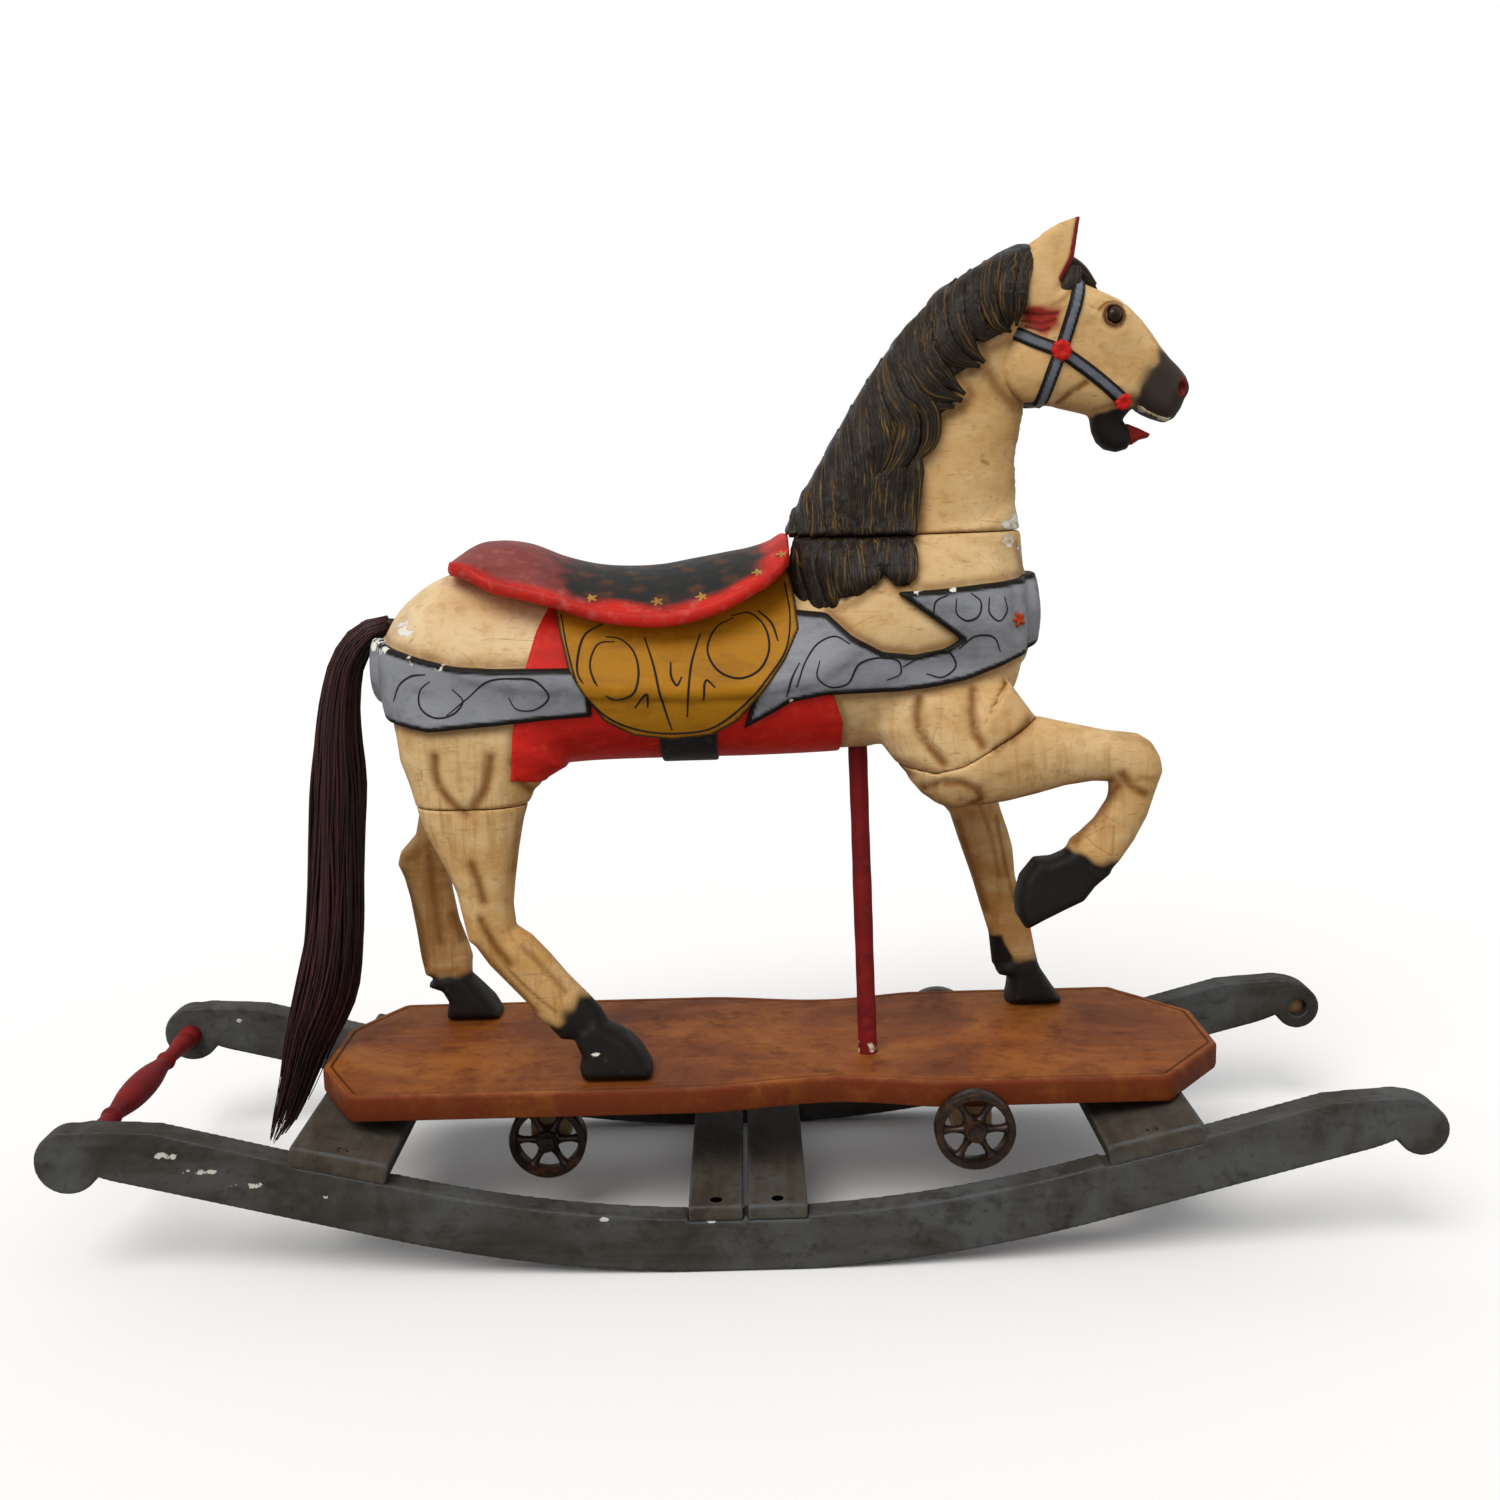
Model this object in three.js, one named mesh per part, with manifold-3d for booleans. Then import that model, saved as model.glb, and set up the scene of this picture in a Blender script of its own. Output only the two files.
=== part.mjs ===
// Carved and painted wooden horse on a wheeled platform that sits on a pair of rockers.
// Millimetres. +X is the way the horse faces, +Y is its left, +Z is up.
// The origin is on the floor, midway between the ends of the rockers.
import * as THREE from 'three';
import { mergeVertices } from 'three/addons/utils/BufferGeometryUtils.js';
import Module from 'manifold-3d';

const wasm = await Module();
wasm.setup();

// ---- driving dimensions ----
const GAP = 0.3;                 // clearance between pieces that touch
const ROCKER_OUTER = 200;        // outer faces of the rockers, from the centre line
const ROCKER_THICK = 30;
const ROCKER_DEPTH = 58;
const ROCKER_RADIUS = 1450;      // of the sole
const FLAT_HALF = 60;            // half length of the flat in the middle of the sole
const SOLE_ANGLE = 14.4;         // degrees, where the sole runs on straight
const TAIL_X = 618;              // where the straight sole ends
const KNOB_REAR = { x: -674, z: 134, r: 33 };
const KNOB_FRONT = { x: 680, z: 131, r: 26 };
const SOCKET_RADIUS = 11;        // empty spindle sockets in the front knobs
const SOCKET_DEPTH = 12;
const TENON_RADIUS = 8;
const SLAT_SLOPE = 13;           // degrees
const SLAT_WIDTH = 100;
const SLAT_THICK = 22;
const SLAT_REAR_X = -402;
const SLAT_FRONT_X = 412;
const MIDDLE_SLAT = { low: 55, high: 71, edges: [[-56, -1], [4, 64]] };
const BOARD_LOW = 146.3;
const BOARD_TOP = 174;
const BOARD_HALF = 145;
const WAIST_DEPTH = 19;
const WHEEL_RADIUS = 41;
const WHEEL_WIDTH = 20;
const AXLE_RADIUS = 5;
const REAR_AXLE = { x: -208, z: 100, outer: 100 };
const FRONT_AXLE = { x: 237, z: 130, outer: 172 };
const POLE_RADIUS = 10;
const POLE_FOOT = [137, -54, 162];
const POLE_HEAD = [132.6, -17.6, 518];
const NECK_SEAM = 728;           // height of the glue line between body and neck
const HIND_SEAM = 465;           // height of the glue line between haunch and hind leg
const DOWEL_RADIUS = 8;
const CLOTH = 3;                 // how far each layer of the harness stands off the body
const STRAP = 8;
const FLAP = 11;
const GIRTH = 6.5;
const MANE = 14;
const BRIDLE = 4;

const radians = THREE.MathUtils.degToRad;

// ---- geometry helpers ----
function toSolid(geometry) {
  const bare = geometry.clone();
  for (const name of Object.keys(bare.attributes)) {
    if (name !== 'position') bare.deleteAttribute(name);
  }
  const merged = mergeVertices(bare, 1e-4);
  return new wasm.Manifold(new wasm.Mesh({
    numProp: 3,
    vertProperties: new Float32Array(merged.attributes.position.array),
    triVerts: new Uint32Array(merged.index.array),
  }));
}

function toGeometry(solid) {
  const mesh = solid.getMesh();
  const geometry = new THREE.BufferGeometry();
  geometry.setAttribute('position', new THREE.BufferAttribute(mesh.vertProperties, 3));
  geometry.setIndex(new THREE.BufferAttribute(mesh.triVerts, 1));
  geometry.computeVertexNormals();
  return geometry;
}

const join = (...solids) => solids.reduce((all, one) => all.add(one));
const cut = (solid, ...tools) => tools.reduce((left, tool) => left.subtract(tool), solid);

function shapeOf(points) {
  return new THREE.Shape(points.map(([a, b]) => new THREE.Vector2(a, b)));
}

// A side outline (x, z) carried across from y0 to y1.
function sidePrism(shape, y0, y1) {
  const outline = Array.isArray(shape) ? shapeOf(shape) : shape;
  const geometry = new THREE.ExtrudeGeometry(outline, { depth: y1 - y0, bevelEnabled: false, curveSegments: 10 });
  geometry.rotateX(Math.PI / 2);
  geometry.translate(0, y1, 0);
  return toSolid(geometry);
}

// A plan outline (x, y) carried up from z0 to z1.
function planPrism(points, z0, z1) {
  const geometry = new THREE.ExtrudeGeometry(shapeOf(points), { depth: z1 - z0, bevelEnabled: false });
  geometry.translate(0, 0, z0);
  return toSolid(geometry);
}

function box(x0, x1, y0, y1, z0, z1) {
  return planPrism([[x0, y0], [x1, y0], [x1, y1], [x0, y1]], z0, z1);
}

function rod(from, to, radius, sides = 12) {
  const start = new THREE.Vector3(...from);
  const end = new THREE.Vector3(...to);
  const along = end.clone().sub(start);
  const geometry = new THREE.CylinderGeometry(radius, radius, along.length(), sides);
  geometry.applyQuaternion(new THREE.Quaternion().setFromUnitVectors(
    new THREE.Vector3(0, 1, 0), along.clone().normalize()));
  geometry.translate(...start.add(end).multiplyScalar(0.5).toArray());
  return toSolid(geometry);
}

// Moves every side of an outline outwards by a small distance.
function grow(points, distance) {
  const area = points.reduce((sum, [x, z], i) => {
    const [nx, nz] = points[(i + 1) % points.length];
    return sum + x * nz - nx * z;
  }, 0);
  const turn = Math.sign(area);
  return points.map(([x, z], i) => {
    const [px, pz] = points[(i + points.length - 1) % points.length];
    const [nx, nz] = points[(i + 1) % points.length];
    const before = new THREE.Vector2(z - pz, px - x).normalize();
    const after = new THREE.Vector2(nz - z, x - nx).normalize();
    const middle = before.clone().add(after).normalize();
    const reach = turn * distance / Math.max(0.5, middle.dot(after));
    return [x + middle.x * reach, z + middle.y * reach];
  });
}

// Closed skin over a run of rings that all have the same number of points.
function loft(rings) {
  const count = rings[0].length;
  const positions = [];
  const indices = [];
  rings.forEach((ring) => ring.forEach((point) => positions.push(...point.toArray())));
  for (let ring = 0; ring + 1 < rings.length; ring += 1) {
    for (let side = 0; side < count; side += 1) {
      const a = ring * count + side;
      const b = ring * count + (side + 1) % count;
      indices.push(a, b, a + count, b, b + count, a + count);
    }
  }
  [0, rings.length - 1].forEach((ring, isLast) => {
    const centre = rings[ring].reduce((sum, p) => sum.add(p), new THREE.Vector3()).divideScalar(count);
    const middle = positions.length / 3;
    positions.push(...centre.toArray());
    for (let side = 0; side < count; side += 1) {
      const a = ring * count + side;
      const b = ring * count + (side + 1) % count;
      if (isLast) indices.push(a, b, middle);
      else indices.push(b, a, middle);
    }
  });
  const volume = signedVolume(positions, indices);
  if (volume < 0) {
    for (let i = 0; i < indices.length; i += 3) {
      [indices[i], indices[i + 1]] = [indices[i + 1], indices[i]];
    }
  }
  const geometry = new THREE.BufferGeometry();
  geometry.setAttribute('position', new THREE.Float32BufferAttribute(positions, 3));
  geometry.setIndex(indices);
  return toSolid(geometry);
}

function signedVolume(positions, indices) {
  const corner = (i) => new THREE.Vector3().fromArray(positions, 3 * i);
  let total = 0;
  for (let i = 0; i < indices.length; i += 3) {
    total += corner(indices[i]).dot(corner(indices[i + 1]).cross(corner(indices[i + 2])));
  }
  return total / 6;
}

// A limb: stations are [x, z, y, half depth, half width, tilt of the section in degrees].
// A station without a tilt lies square to the limb.
function limb(stations, extra = 0, sides = 12) {
  const rings = stations.map(([x, z, y, depth, width, tilt], i) => {
    const before = stations[Math.max(0, i - 1)];
    const after = stations[Math.min(stations.length - 1, i + 1)];
    const heading = Math.atan2(after[1] - before[1], after[0] - before[0]);
    const lean = tilt === undefined ? heading + Math.PI / 2 : radians(tilt);
    return Array.from({ length: sides }, (_, k) => {
      const turn = 2 * Math.PI * k / sides;
      const out = (depth + extra) * Math.cos(turn);
      const across = (width + extra) * Math.sin(turn);
      return new THREE.Vector3(x + out * Math.cos(lean), y + across, z + out * Math.sin(lean));
    });
  });
  return loft(rings);
}

// ---- horse: stations of the carved block ----
// [x, underside, top, half width] along the barrel.
const BARREL = [
  [-364, 566, 634, 42], [-350, 528, 656, 74], [-322, 505, 682, 96], [-280, 494, 700, 109],
  [-220, 494, 703, 114], [-150, 499, 689, 113], [-60, 500, 686, 110], [30, 500, 698, 109],
  [110, 502, 718, 107], [190, 507, 735, 101], [245, 521, 728, 92], [285, 545, 708, 79],
  [308, 568, 684, 58], [317, 590, 660, 36],
];
const NECK = [
  [188, 640, 0, 126, 92, 0], [186, 695, 0, 123, 78, 0], [186, 733, 0, 113, 66, -2],
  [206, 797, 0, 92, 57, -7], [231, 855, 0, 76, 52, -18], [252, 904, 0, 58, 48, -35],
  [274, 937, 0, 50, 45, -39], [301, 962, 0, 43, 40, -38], [316, 974, 0, 30, 30, -38],
];
const HEAD = [
  [303, 936, 0, 66, 40, 72], [335, 925, 0, 70, 46, 72], [368, 912, 0, 65, 44, 69],
  [396, 897, 0, 58, 38, 66], [423, 887, 0, 43, 31, 64], [443, 873, 0, 33, 28, 56],
  [461, 860, 0, 28, 27, 55], [471, 852, 0, 18, 20, 55],
];
const JAW = [
  [376, 856, 0, 22, 24], [392, 836, 0, 20, 20], [404, 822, 0, 17, 18], [413, 811, 0, 9, 12],
];
const EAR = [
  [326, 962, 31, 17, 13], [340, 992, 33, 17, 10], [352, 1017, 35, 12, 8], [362, 1039, 36, 2, 2],
];
const HIND_RIGHT = [
  [-258, 600, -58, 78, 52], [-268, 530, -72, 68, 45], [-270, HIND_SEAM, -83, 57, 37, 0],
  [-267, 423, -89, 44, 31], [-260, 386, -92, 33, 27], [-257, 350, -94, 27, 23],
  [-249, 320, -95, 27, 21], [-226, 300, -96, 24, 19], [-200, 275, -97, 21, 18],
  [-172, 248, -98, 20, 18], [-157, 226, -98, 22, 20], [-147, 208, -98, 22, 22, -20],
];
const HIND_LEFT = [
  [-252, 600, 58, 78, 52], [-278, 530, 72, 68, 45], [-300, HIND_SEAM, 84, 53, 37, 0],
  [-318, 430, 90, 43, 31], [-338, 395, 95, 33, 27], [-361, 360, 98, 27, 23],
  [-357, 325, 100, 25, 20], [-350, 285, 101, 23, 19], [-344, 250, 102, 24, 19],
  [-340, 224, 102, 24, 21], [-333, 208, 102, 22, 22, -10],
];
const FORE_LEFT = [
  [212, 560, 60, 60, 46], [224, 500, 76, 52, 38], [245, 455, 88, 41, 32], [273, 408, 96, 30, 26],
  [285, 373, 99, 29, 24], [296, 329, 101, 26, 21], [306, 288, 103, 23, 19], [316, 250, 104, 23, 19],
  [323, 222, 105, 25, 21], [329, 208, 105, 23, 22, -10],
];
const SHOULDER_RIGHT = [
  [204, 580, -58, 62, 46], [214, 520, -74, 56, 41], [220, 484, -80, 36, 32],
];
const FOREARM_RIGHT = [
  [204, 497, -78, 42, 33], [250, 497, -84, 46, 35], [300, 503, -88, 41, 31], [340, 503, -89, 33, 27],
  [382, 499, -89, 27, 23], [408, 493, -89, 25, 22], [426, 487, -89, 15, 15],
];
const CANNON_RIGHT = [
  [414, 502, -89, 19, 18], [410, 468, -89, 24, 21], [398, 438, -88, 23, 19], [385, 413, -87, 22, 18],
  [372, 396, -86, 24, 20], [359, 383, -85, 23, 21],
];
const HOOF_RAISED = [
  [362, 386, -85, 23, 21], [338, 370, -85, 27, 26], [316, 357, -85, 29, 28, -75], [297, 347, -85, 29, 29, -84],
];
// Standing hooves: [x at the ground, x at the pastern, y, half length at the ground]
const HOOVES = {
  hindRight: [-130, -147, -98, 37],
  hindLeft: [-311, -332, 102, 33],
  foreLeft: [343, 329, 105, 33],
};

function barrelSection([x, low, high, half], extra, sides = 22) {
  const middle = (low + high) / 2;
  const rise = (high - low) / 2 + extra;
  const squareness = 0.86;
  const bend = (value) => Math.sign(value) * Math.abs(value) ** squareness;
  return Array.from({ length: sides }, (_, k) => {
    const turn = 2 * Math.PI * k / sides;
    return new THREE.Vector3(x, (half + extra) * bend(Math.sin(turn)), middle + rise * bend(Math.cos(turn)));
  });
}

function barrel(extra) {
  const last = BARREL.length - 1;
  return loft(BARREL.map(([x, low, high, half], i) => {
    const reach = i === 0 ? -extra : 0;
    const ahead = i === last ? extra : 0;
    return barrelSection([x + reach + ahead, low, high, half], extra);
  }));
}

function hoof([groundX, pasternX, y, half]) {
  const level = BOARD_TOP + GAP;
  return limb([
    [groundX, level, y, half, 0.84 * half, 0],
    [(2 * groundX + pasternX) / 3, level + 15, y, 0.9 * half, 0.8 * half, 0],
    [pasternX, level + 38, y, 24, 22, 0],
  ]);
}

const mirrored = (stations) => stations.map(([x, z, y, ...rest]) => [x, z, -y, ...rest]);

function carvedBlock(extra) {
  return join(
    barrel(extra), limb(NECK, extra, 16), limb(HEAD, extra, 14), limb(JAW, extra),
    limb(HIND_RIGHT, extra), limb(HIND_LEFT, extra), limb(FORE_LEFT, extra),
    limb(SHOULDER_RIGHT, extra), limb(FOREARM_RIGHT, extra), limb(CANNON_RIGHT, extra),
  );
}

const carving = join(
  carvedBlock(0), limb(HOOF_RAISED), ...Object.values(HOOVES).map(hoof),
  limb(EAR), limb(mirrored(EAR)),
);
const skin = carvedBlock(GAP);

// ---- glue lines that part the carving into its blocks ----
const NECK_CELL = [
  [0, NECK_SEAM], [330, NECK_SEAM], [330, 845], [299, 851], [272, 878], [272, 905],
  [290, 950], [300, 1000], [300, 1060], [0, 1060],
];
const HEAD_CELL = [[240, 790], [520, 790], [520, 1060], [240, 1060]];
const FORE_CELL = [
  [168, 496], [206, 489], [234, 496], [266, 515], [301, 536], [330, 552],
  [480, 552], [480, 150], [160, 150],
];
const HIND_CELL = [[-420, 150], [-420, HIND_SEAM], [-80, HIND_SEAM], [-80, 150]];
const CELLS = [
  ['neck', NECK_CELL, -200, 200],
  ['head', HEAD_CELL, -200, 200],
  ['foreleg_right', FORE_CELL, -200, -14],
  ['foreleg_left', FORE_CELL, 14, 200],
  ['hind_leg_right', HIND_CELL, -200, -4],
  ['hind_leg_left', HIND_CELL, 4, 200],
];

const block = {};
let rest = carving;
for (const [name, outline, y0, y1] of CELLS) {
  block[name] = rest.intersect(sidePrism(outline, y0, y1));
  rest = cut(rest, sidePrism(grow(outline, GAP), y0 - GAP, y1 + GAP));
}
block.trunk = rest;

// ---- dowels across the glue lines: [piece above, piece below, foot, head] ----
const DOWELS = {
  neck_dowel: ['neck', 'trunk', [200, 0, 690], [212, 0, 770]],
  head_dowel: ['head', 'neck', [262, 0, 905], [322, 0, 925]],
  foreleg_dowel_right: ['trunk', 'foreleg_right', [232, -78, 472], [222, -66, 540]],
  foreleg_dowel_left: ['trunk', 'foreleg_left', [236, 80, 465], [222, 68, 540]],
  hind_leg_dowel_right: ['trunk', 'hind_leg_right', [-268, -84, 425], [-268, -78, 505]],
  hind_leg_dowel_left: ['trunk', 'hind_leg_left', [-308, 88, 425], [-292, 79, 505]],
};
for (const name of Object.keys(DOWELS)) {
  const [upper, lower, foot, head] = DOWELS[name];
  const hole = rod(foot, head, DOWEL_RADIUS + GAP);
  block[upper] = cut(block[upper], hole);
  block[lower] = cut(block[lower], hole);
  const along = new THREE.Vector3(...head).sub(new THREE.Vector3(...foot)).setLength(GAP).toArray();
  const inset = (point, sign) => point.map((value, i) => value + sign * along[i]);
  block[name] = rod(inset(foot, 1), inset(head, -1), DOWEL_RADIUS);
}

// ---- harness and saddle, layer over layer ----
const CLOTH_OUTLINE = [
  [-182, 656], [-203, 613], [-222, 545], [-226, 480], [112, 480], [114, 540], [104, 572],
  [60, 600], [60, 656],
];
const GIRTH_OUTLINE = [[-74, 560], [-74, 470], [-15, 470], [-15, 560]];
const REAR_STRAP_OUTLINE = [
  [-420, 634], [-352, 632], [-311, 619], [-276, 611], [-237, 608], [-130, 606], [-130, 558],
  [-193, 554], [-251, 550], [-305, 546], [-341, 554], [-420, 562],
];
const BREAST_STRAP_OUTLINE = [
  [12, 540], [61, 568], [94, 573], [165, 574], [204, 578], [243, 585], [272, 594], [307, 607],
  [345, 622], [345, 688], [301, 681], [259, 678], [205, 674], [168, 673], [204, 646], [233, 624],
  [216, 615], [185, 610], [154, 614], [123, 631], [99, 653], [50, 655],
];
const FLAP_OUTLINE = [
  [-175, 664], [-170, 638], [-161, 605], [-144, 576], [-127, 552], [-99, 535], [-60, 529],
  [-20, 533], [5, 547], [31, 575], [57, 610], [71, 638], [68, 667], [62, 697],
  [44, 683.5], [26, 673.5], [-2, 659.5], [-38, 648.5], [-74, 644.5], [-109, 646], [-138, 652],
];
const MANE_LOWER_OUTLINE = [
  [189, NECK_SEAM - GAP], [187, 697], [183, 677], [175, 673], [152, 691], [144, 674], [128, 663],
  [115, 667], [95, 648], [78, 637], [73, 660], [67, 700], [64, NECK_SEAM - GAP],
];
const MANE_UPPER_OUTLINE = [
  [190, NECK_SEAM + GAP], [194, 764], [189, 786], [204, 820], [220, 845], [246, 863], [233, 889],
  [263, 897], [259, 928], [298, 929], [303, 960], [316, 1000], [335, 1045], [0, 1045],
  [0, NECK_SEAM + GAP],
];
// Saddle seat: [x, lower edge, top, half width]
const SEAT = [
  [-284, 699, 712, 60], [-268, 696, 725, 82], [-240, 683, 730, 96], [-208, 675, 726, 103],
  [-173, 666, 712, 109], [-138, 654, 703, 113], [-100, 647, 701, 115], [-70, 645, 702, 115],
  [-38, 649, 707, 115], [-2, 660, 713, 111], [26, 674, 717, 104], [44, 684, 722, 96],
  [60, 698, 731, 82],
];
const RIM = 14;

const NEAR = [-200, 0];
const FAR = [0, 200];
const BOTH = [-200, 200];
const MANE_SIDE = [-200, -40];

function seatSolid(extra) {
  const steps = 14;
  return loft(SEAT.map(([x, low, high, half], i) => {
    const shift = i === 0 ? -extra : i === SEAT.length - 1 ? extra : 0;
    const arch = Array.from({ length: steps + 1 }, (_, k) => {
      const across = 1 - 2 * k / steps;
      const crown = (high - low - RIM) * (1 - Math.abs(across) ** 2.2);
      return new THREE.Vector3(x + shift, (half + extra) * across, low + RIM + crown + extra);
    });
    const foot = [-1, 1].map((sign) => new THREE.Vector3(x + shift, sign * (half + extra), low - extra));
    return [...arch, ...foot];
  }));
}

function layer(height, outline, [y0, y1], extra = 0) {
  return carvedBlock(height + extra).intersect(sidePrism(grow(outline, extra), y0, y1));
}

const seatRoom = seatSolid(GAP);
const clothRoom = layer(CLOTH, CLOTH_OUTLINE, BOTH, GAP);
const girthRoom = layer(GIRTH, GIRTH_OUTLINE, BOTH, GAP);
const rearRoom = layer(STRAP, REAR_STRAP_OUTLINE, BOTH, GAP);
const breastRoom = layer(STRAP, BREAST_STRAP_OUTLINE, BOTH, GAP);
const maneRoom = layer(MANE, MANE_LOWER_OUTLINE, MANE_SIDE, GAP);

block.saddle_seat = cut(seatSolid(0), skin);
block.saddle_cloth = cut(layer(CLOTH, CLOTH_OUTLINE, BOTH), skin, seatRoom);
block.girth_strap = cut(layer(GIRTH, GIRTH_OUTLINE, BOTH), skin, clothRoom);
block.rear_strap = cut(layer(STRAP, REAR_STRAP_OUTLINE, BOTH), skin, clothRoom, girthRoom);
block.breast_strap = cut(layer(STRAP, BREAST_STRAP_OUTLINE, BOTH), skin, clothRoom, girthRoom, maneRoom);
for (const [side, span] of [['right', NEAR], ['left', FAR]]) {
  block[`saddle_flap_${side}`] = cut(
    layer(FLAP, FLAP_OUTLINE, span), skin, clothRoom, girthRoom, rearRoom, breastRoom, seatRoom);
}
block.mane_lower = cut(layer(MANE, MANE_LOWER_OUTLINE, MANE_SIDE), skin, seatRoom);
block.mane_upper = cut(
  limb(NECK, MANE, 16).intersect(sidePrism(MANE_UPPER_OUTLINE, ...BOTH)), skin, seatRoom,
  limb(EAR, GAP), limb(mirrored(EAR), GAP));
['girth_strap', 'rear_strap', 'breast_strap', 'saddle_cloth'].forEach((name) => {
  block[name] = cut(block[name], seatRoom);
});

// ---- bridle ----
const ROSETTES = {
  temple: { x: 338, z: 906, r: 10, inner: 38, outer: 53 },
  bit: { x: 407, z: 855, r: 8, inner: 22, outer: 41 },
};
const CROWN_OUTLINE = [
  [346, 1030], [364, 1030], [352, 950], [346, 906], [330, 840], [314, 840], [330, 906], [336, 950],
];
const THROAT_OUTLINE = [[284, 920], [340, 896], [344, 911], [290, 937]];
const CHEEK_OUTLINE = [[340, 896], [402, 847], [411, 859], [344, 911]];
const aroundHead = (extra, outline, span) => join(limb(HEAD, extra, 14), limb(JAW, extra))
  .intersect(sidePrism(outline, ...span));

const crown = (extra) => join(
  aroundHead(BRIDLE + extra, grow(CROWN_OUTLINE, extra), BOTH),
  aroundHead(BRIDLE + extra, grow(THROAT_OUTLINE, extra), BOTH));
block.bridle_crown_strap = cut(
  crown(0), skin, limb(NECK, MANE + GAP, 16), limb(EAR, GAP), limb(mirrored(EAR), GAP));
for (const [side, sign, span] of [['right', -1, NEAR], ['left', 1, FAR]]) {
  block[`bridle_cheek_strap_${side}`] = cut(aroundHead(BRIDLE, CHEEK_OUTLINE, span), skin, crown(GAP));
  for (const [place, { x, z, r, inner, outer }] of Object.entries(ROSETTES)) {
    const disc = rod([x, sign * inner, z], [x, sign * outer, z], r, 12);
    block[`rosette_${place}_${side}`] = cut(disc, limb(HEAD, BRIDLE + GAP, 14), limb(JAW, BRIDLE + GAP));
  }
}

// ---- glass eyes, each let into a socket ----
const EYE = { x: 395, z: 941, y: 33, r: 8 };
for (const [side, sign] of [['right', -1], ['left', 1]]) {
  const ball = (r) => toSolid(
    new THREE.SphereGeometry(r, 12, 8).translate(EYE.x, sign * EYE.y, EYE.z));
  block.head = cut(block.head, ball(EYE.r + GAP));
  block[`eye_${side}`] = ball(EYE.r);
}

// ---- hair tail, pegged into the rump ----
const TAIL = [
  [-352, 645, 0, 8, 8], [-372, 643, 0, 9, 9], [-392, 629, 0, 14, 14], [-409, 606, 0, 17, 18],
  [-419, 572, 0, 20, 20], [-425, 530, 0, 24, 23], [-428, 480, 0, 29, 26], [-433, 420, 0, 30, 27],
  [-438, 360, 0, 30, 27], [-443, 300, 0, 32, 27], [-455, 245, 0, 31, 26], [-481, 185, 0, 24, 22],
  [-500, 130, 0, 20, 17], [-516, 92, 0, 14, 11], [-530, 66, 0, 4, 4],
];
block.tail = limb(TAIL);
block.trunk = cut(block.trunk, limb(TAIL, GAP));
block.rear_strap = cut(block.rear_strap, limb(TAIL, GAP));

// ---- rockers ----
function rockerShape() {
  const start = Math.asin(FLAT_HALF / ROCKER_RADIUS);
  const end = radians(SOLE_ANGLE);
  const steps = 6;
  const arc = Array.from({ length: steps + 1 }, (_, k) => {
    const turn = start + (end - start) * k / steps;
    return [ROCKER_RADIUS * Math.sin(turn), ROCKER_RADIUS * (Math.cos(start) - Math.cos(turn))];
  });
  const [straightX, straightZ] = arc[steps];
  const tailZ = straightZ + (TAIL_X - straightX) * Math.tan(end);
  const offset = ([x, z], turn) => [x - ROCKER_DEPTH * Math.sin(turn), z + ROCKER_DEPTH * Math.cos(turn)];
  const upper = arc.map((point, k) => offset(point, start + (end - start) * k / steps));
  const shape = new THREE.Shape();
  shape.moveTo(...arc[0]);
  [...arc.slice(1), [TAIL_X, tailZ]].forEach((point) => shape.lineTo(...point));
  shape.quadraticCurveTo(636, tailZ + 4, 655, 123);
  shape.absarc(KNOB_FRONT.x, KNOB_FRONT.z, KNOB_FRONT.r, radians(198), radians(410), false);
  shape.quadraticCurveTo(684, 166, 655, 168);
  shape.quadraticCurveTo(630, 167, 600, offset([600, straightZ + (600 - straightX) * Math.tan(end)], end)[1] + 2);
  [...upper].reverse().forEach((point) => shape.lineTo(...point));
  upper.forEach(([x, z]) => shape.lineTo(-x, z));
  shape.lineTo(-600, offset([600, straightZ + (600 - straightX) * Math.tan(end)], end)[1] + 2);
  shape.quadraticCurveTo(-630, 167, -655, 168);
  shape.absarc(KNOB_REAR.x, KNOB_REAR.z, KNOB_REAR.r, radians(80), radians(332), false);
  shape.quadraticCurveTo(-632, tailZ + 3, -TAIL_X, tailZ);
  [...arc].reverse().forEach(([x, z]) => shape.lineTo(-x, z));
  return shape;
}

// A slat lying across both rockers, its outer top edge just under the board.
function slat(centreX, extra = 0) {
  const outward = Math.sign(centreX);
  const geometry = new THREE.BoxGeometry(
    SLAT_WIDTH + 2 * extra, 2 * ROCKER_OUTER + 2 * extra, SLAT_THICK + 2 * extra);
  geometry.translate(-outward * SLAT_WIDTH / 2, 0, -SLAT_THICK / 2);
  geometry.rotateY(-outward * radians(SLAT_SLOPE));
  const reach = SLAT_WIDTH / 2 * Math.cos(radians(SLAT_SLOPE));
  geometry.translate(centreX + outward * reach, 0, BOARD_LOW - GAP);
  return toSolid(geometry);
}

function middleSlat([x0, x1], extra = 0) {
  const { low, high } = MIDDLE_SLAT;
  return box(x0 - extra, x1 + extra, -ROCKER_OUTER - extra, ROCKER_OUTER + extra, low - extra, high + extra);
}

// Countersunk screw, head flush with a surface whose normal leans by the given angle along X.
function screw(x, y, z, lean, extra = 0) {
  const profile = [
    [0, 0.4 - extra], [3 + extra, 0.4 - extra], [3 + extra, 34], [6.5 + extra, 39], [6.5 + extra, 40 + extra],
    [0, 40 + extra],
  ].map(([r, h]) => new THREE.Vector2(r, h));
  const geometry = new THREE.LatheGeometry(profile, 8);
  geometry.rotateX(Math.PI / 2);
  geometry.translate(0, 0, -40);
  geometry.rotateY(lean);
  geometry.translate(x, y, z);
  return toSolid(geometry);
}

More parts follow.
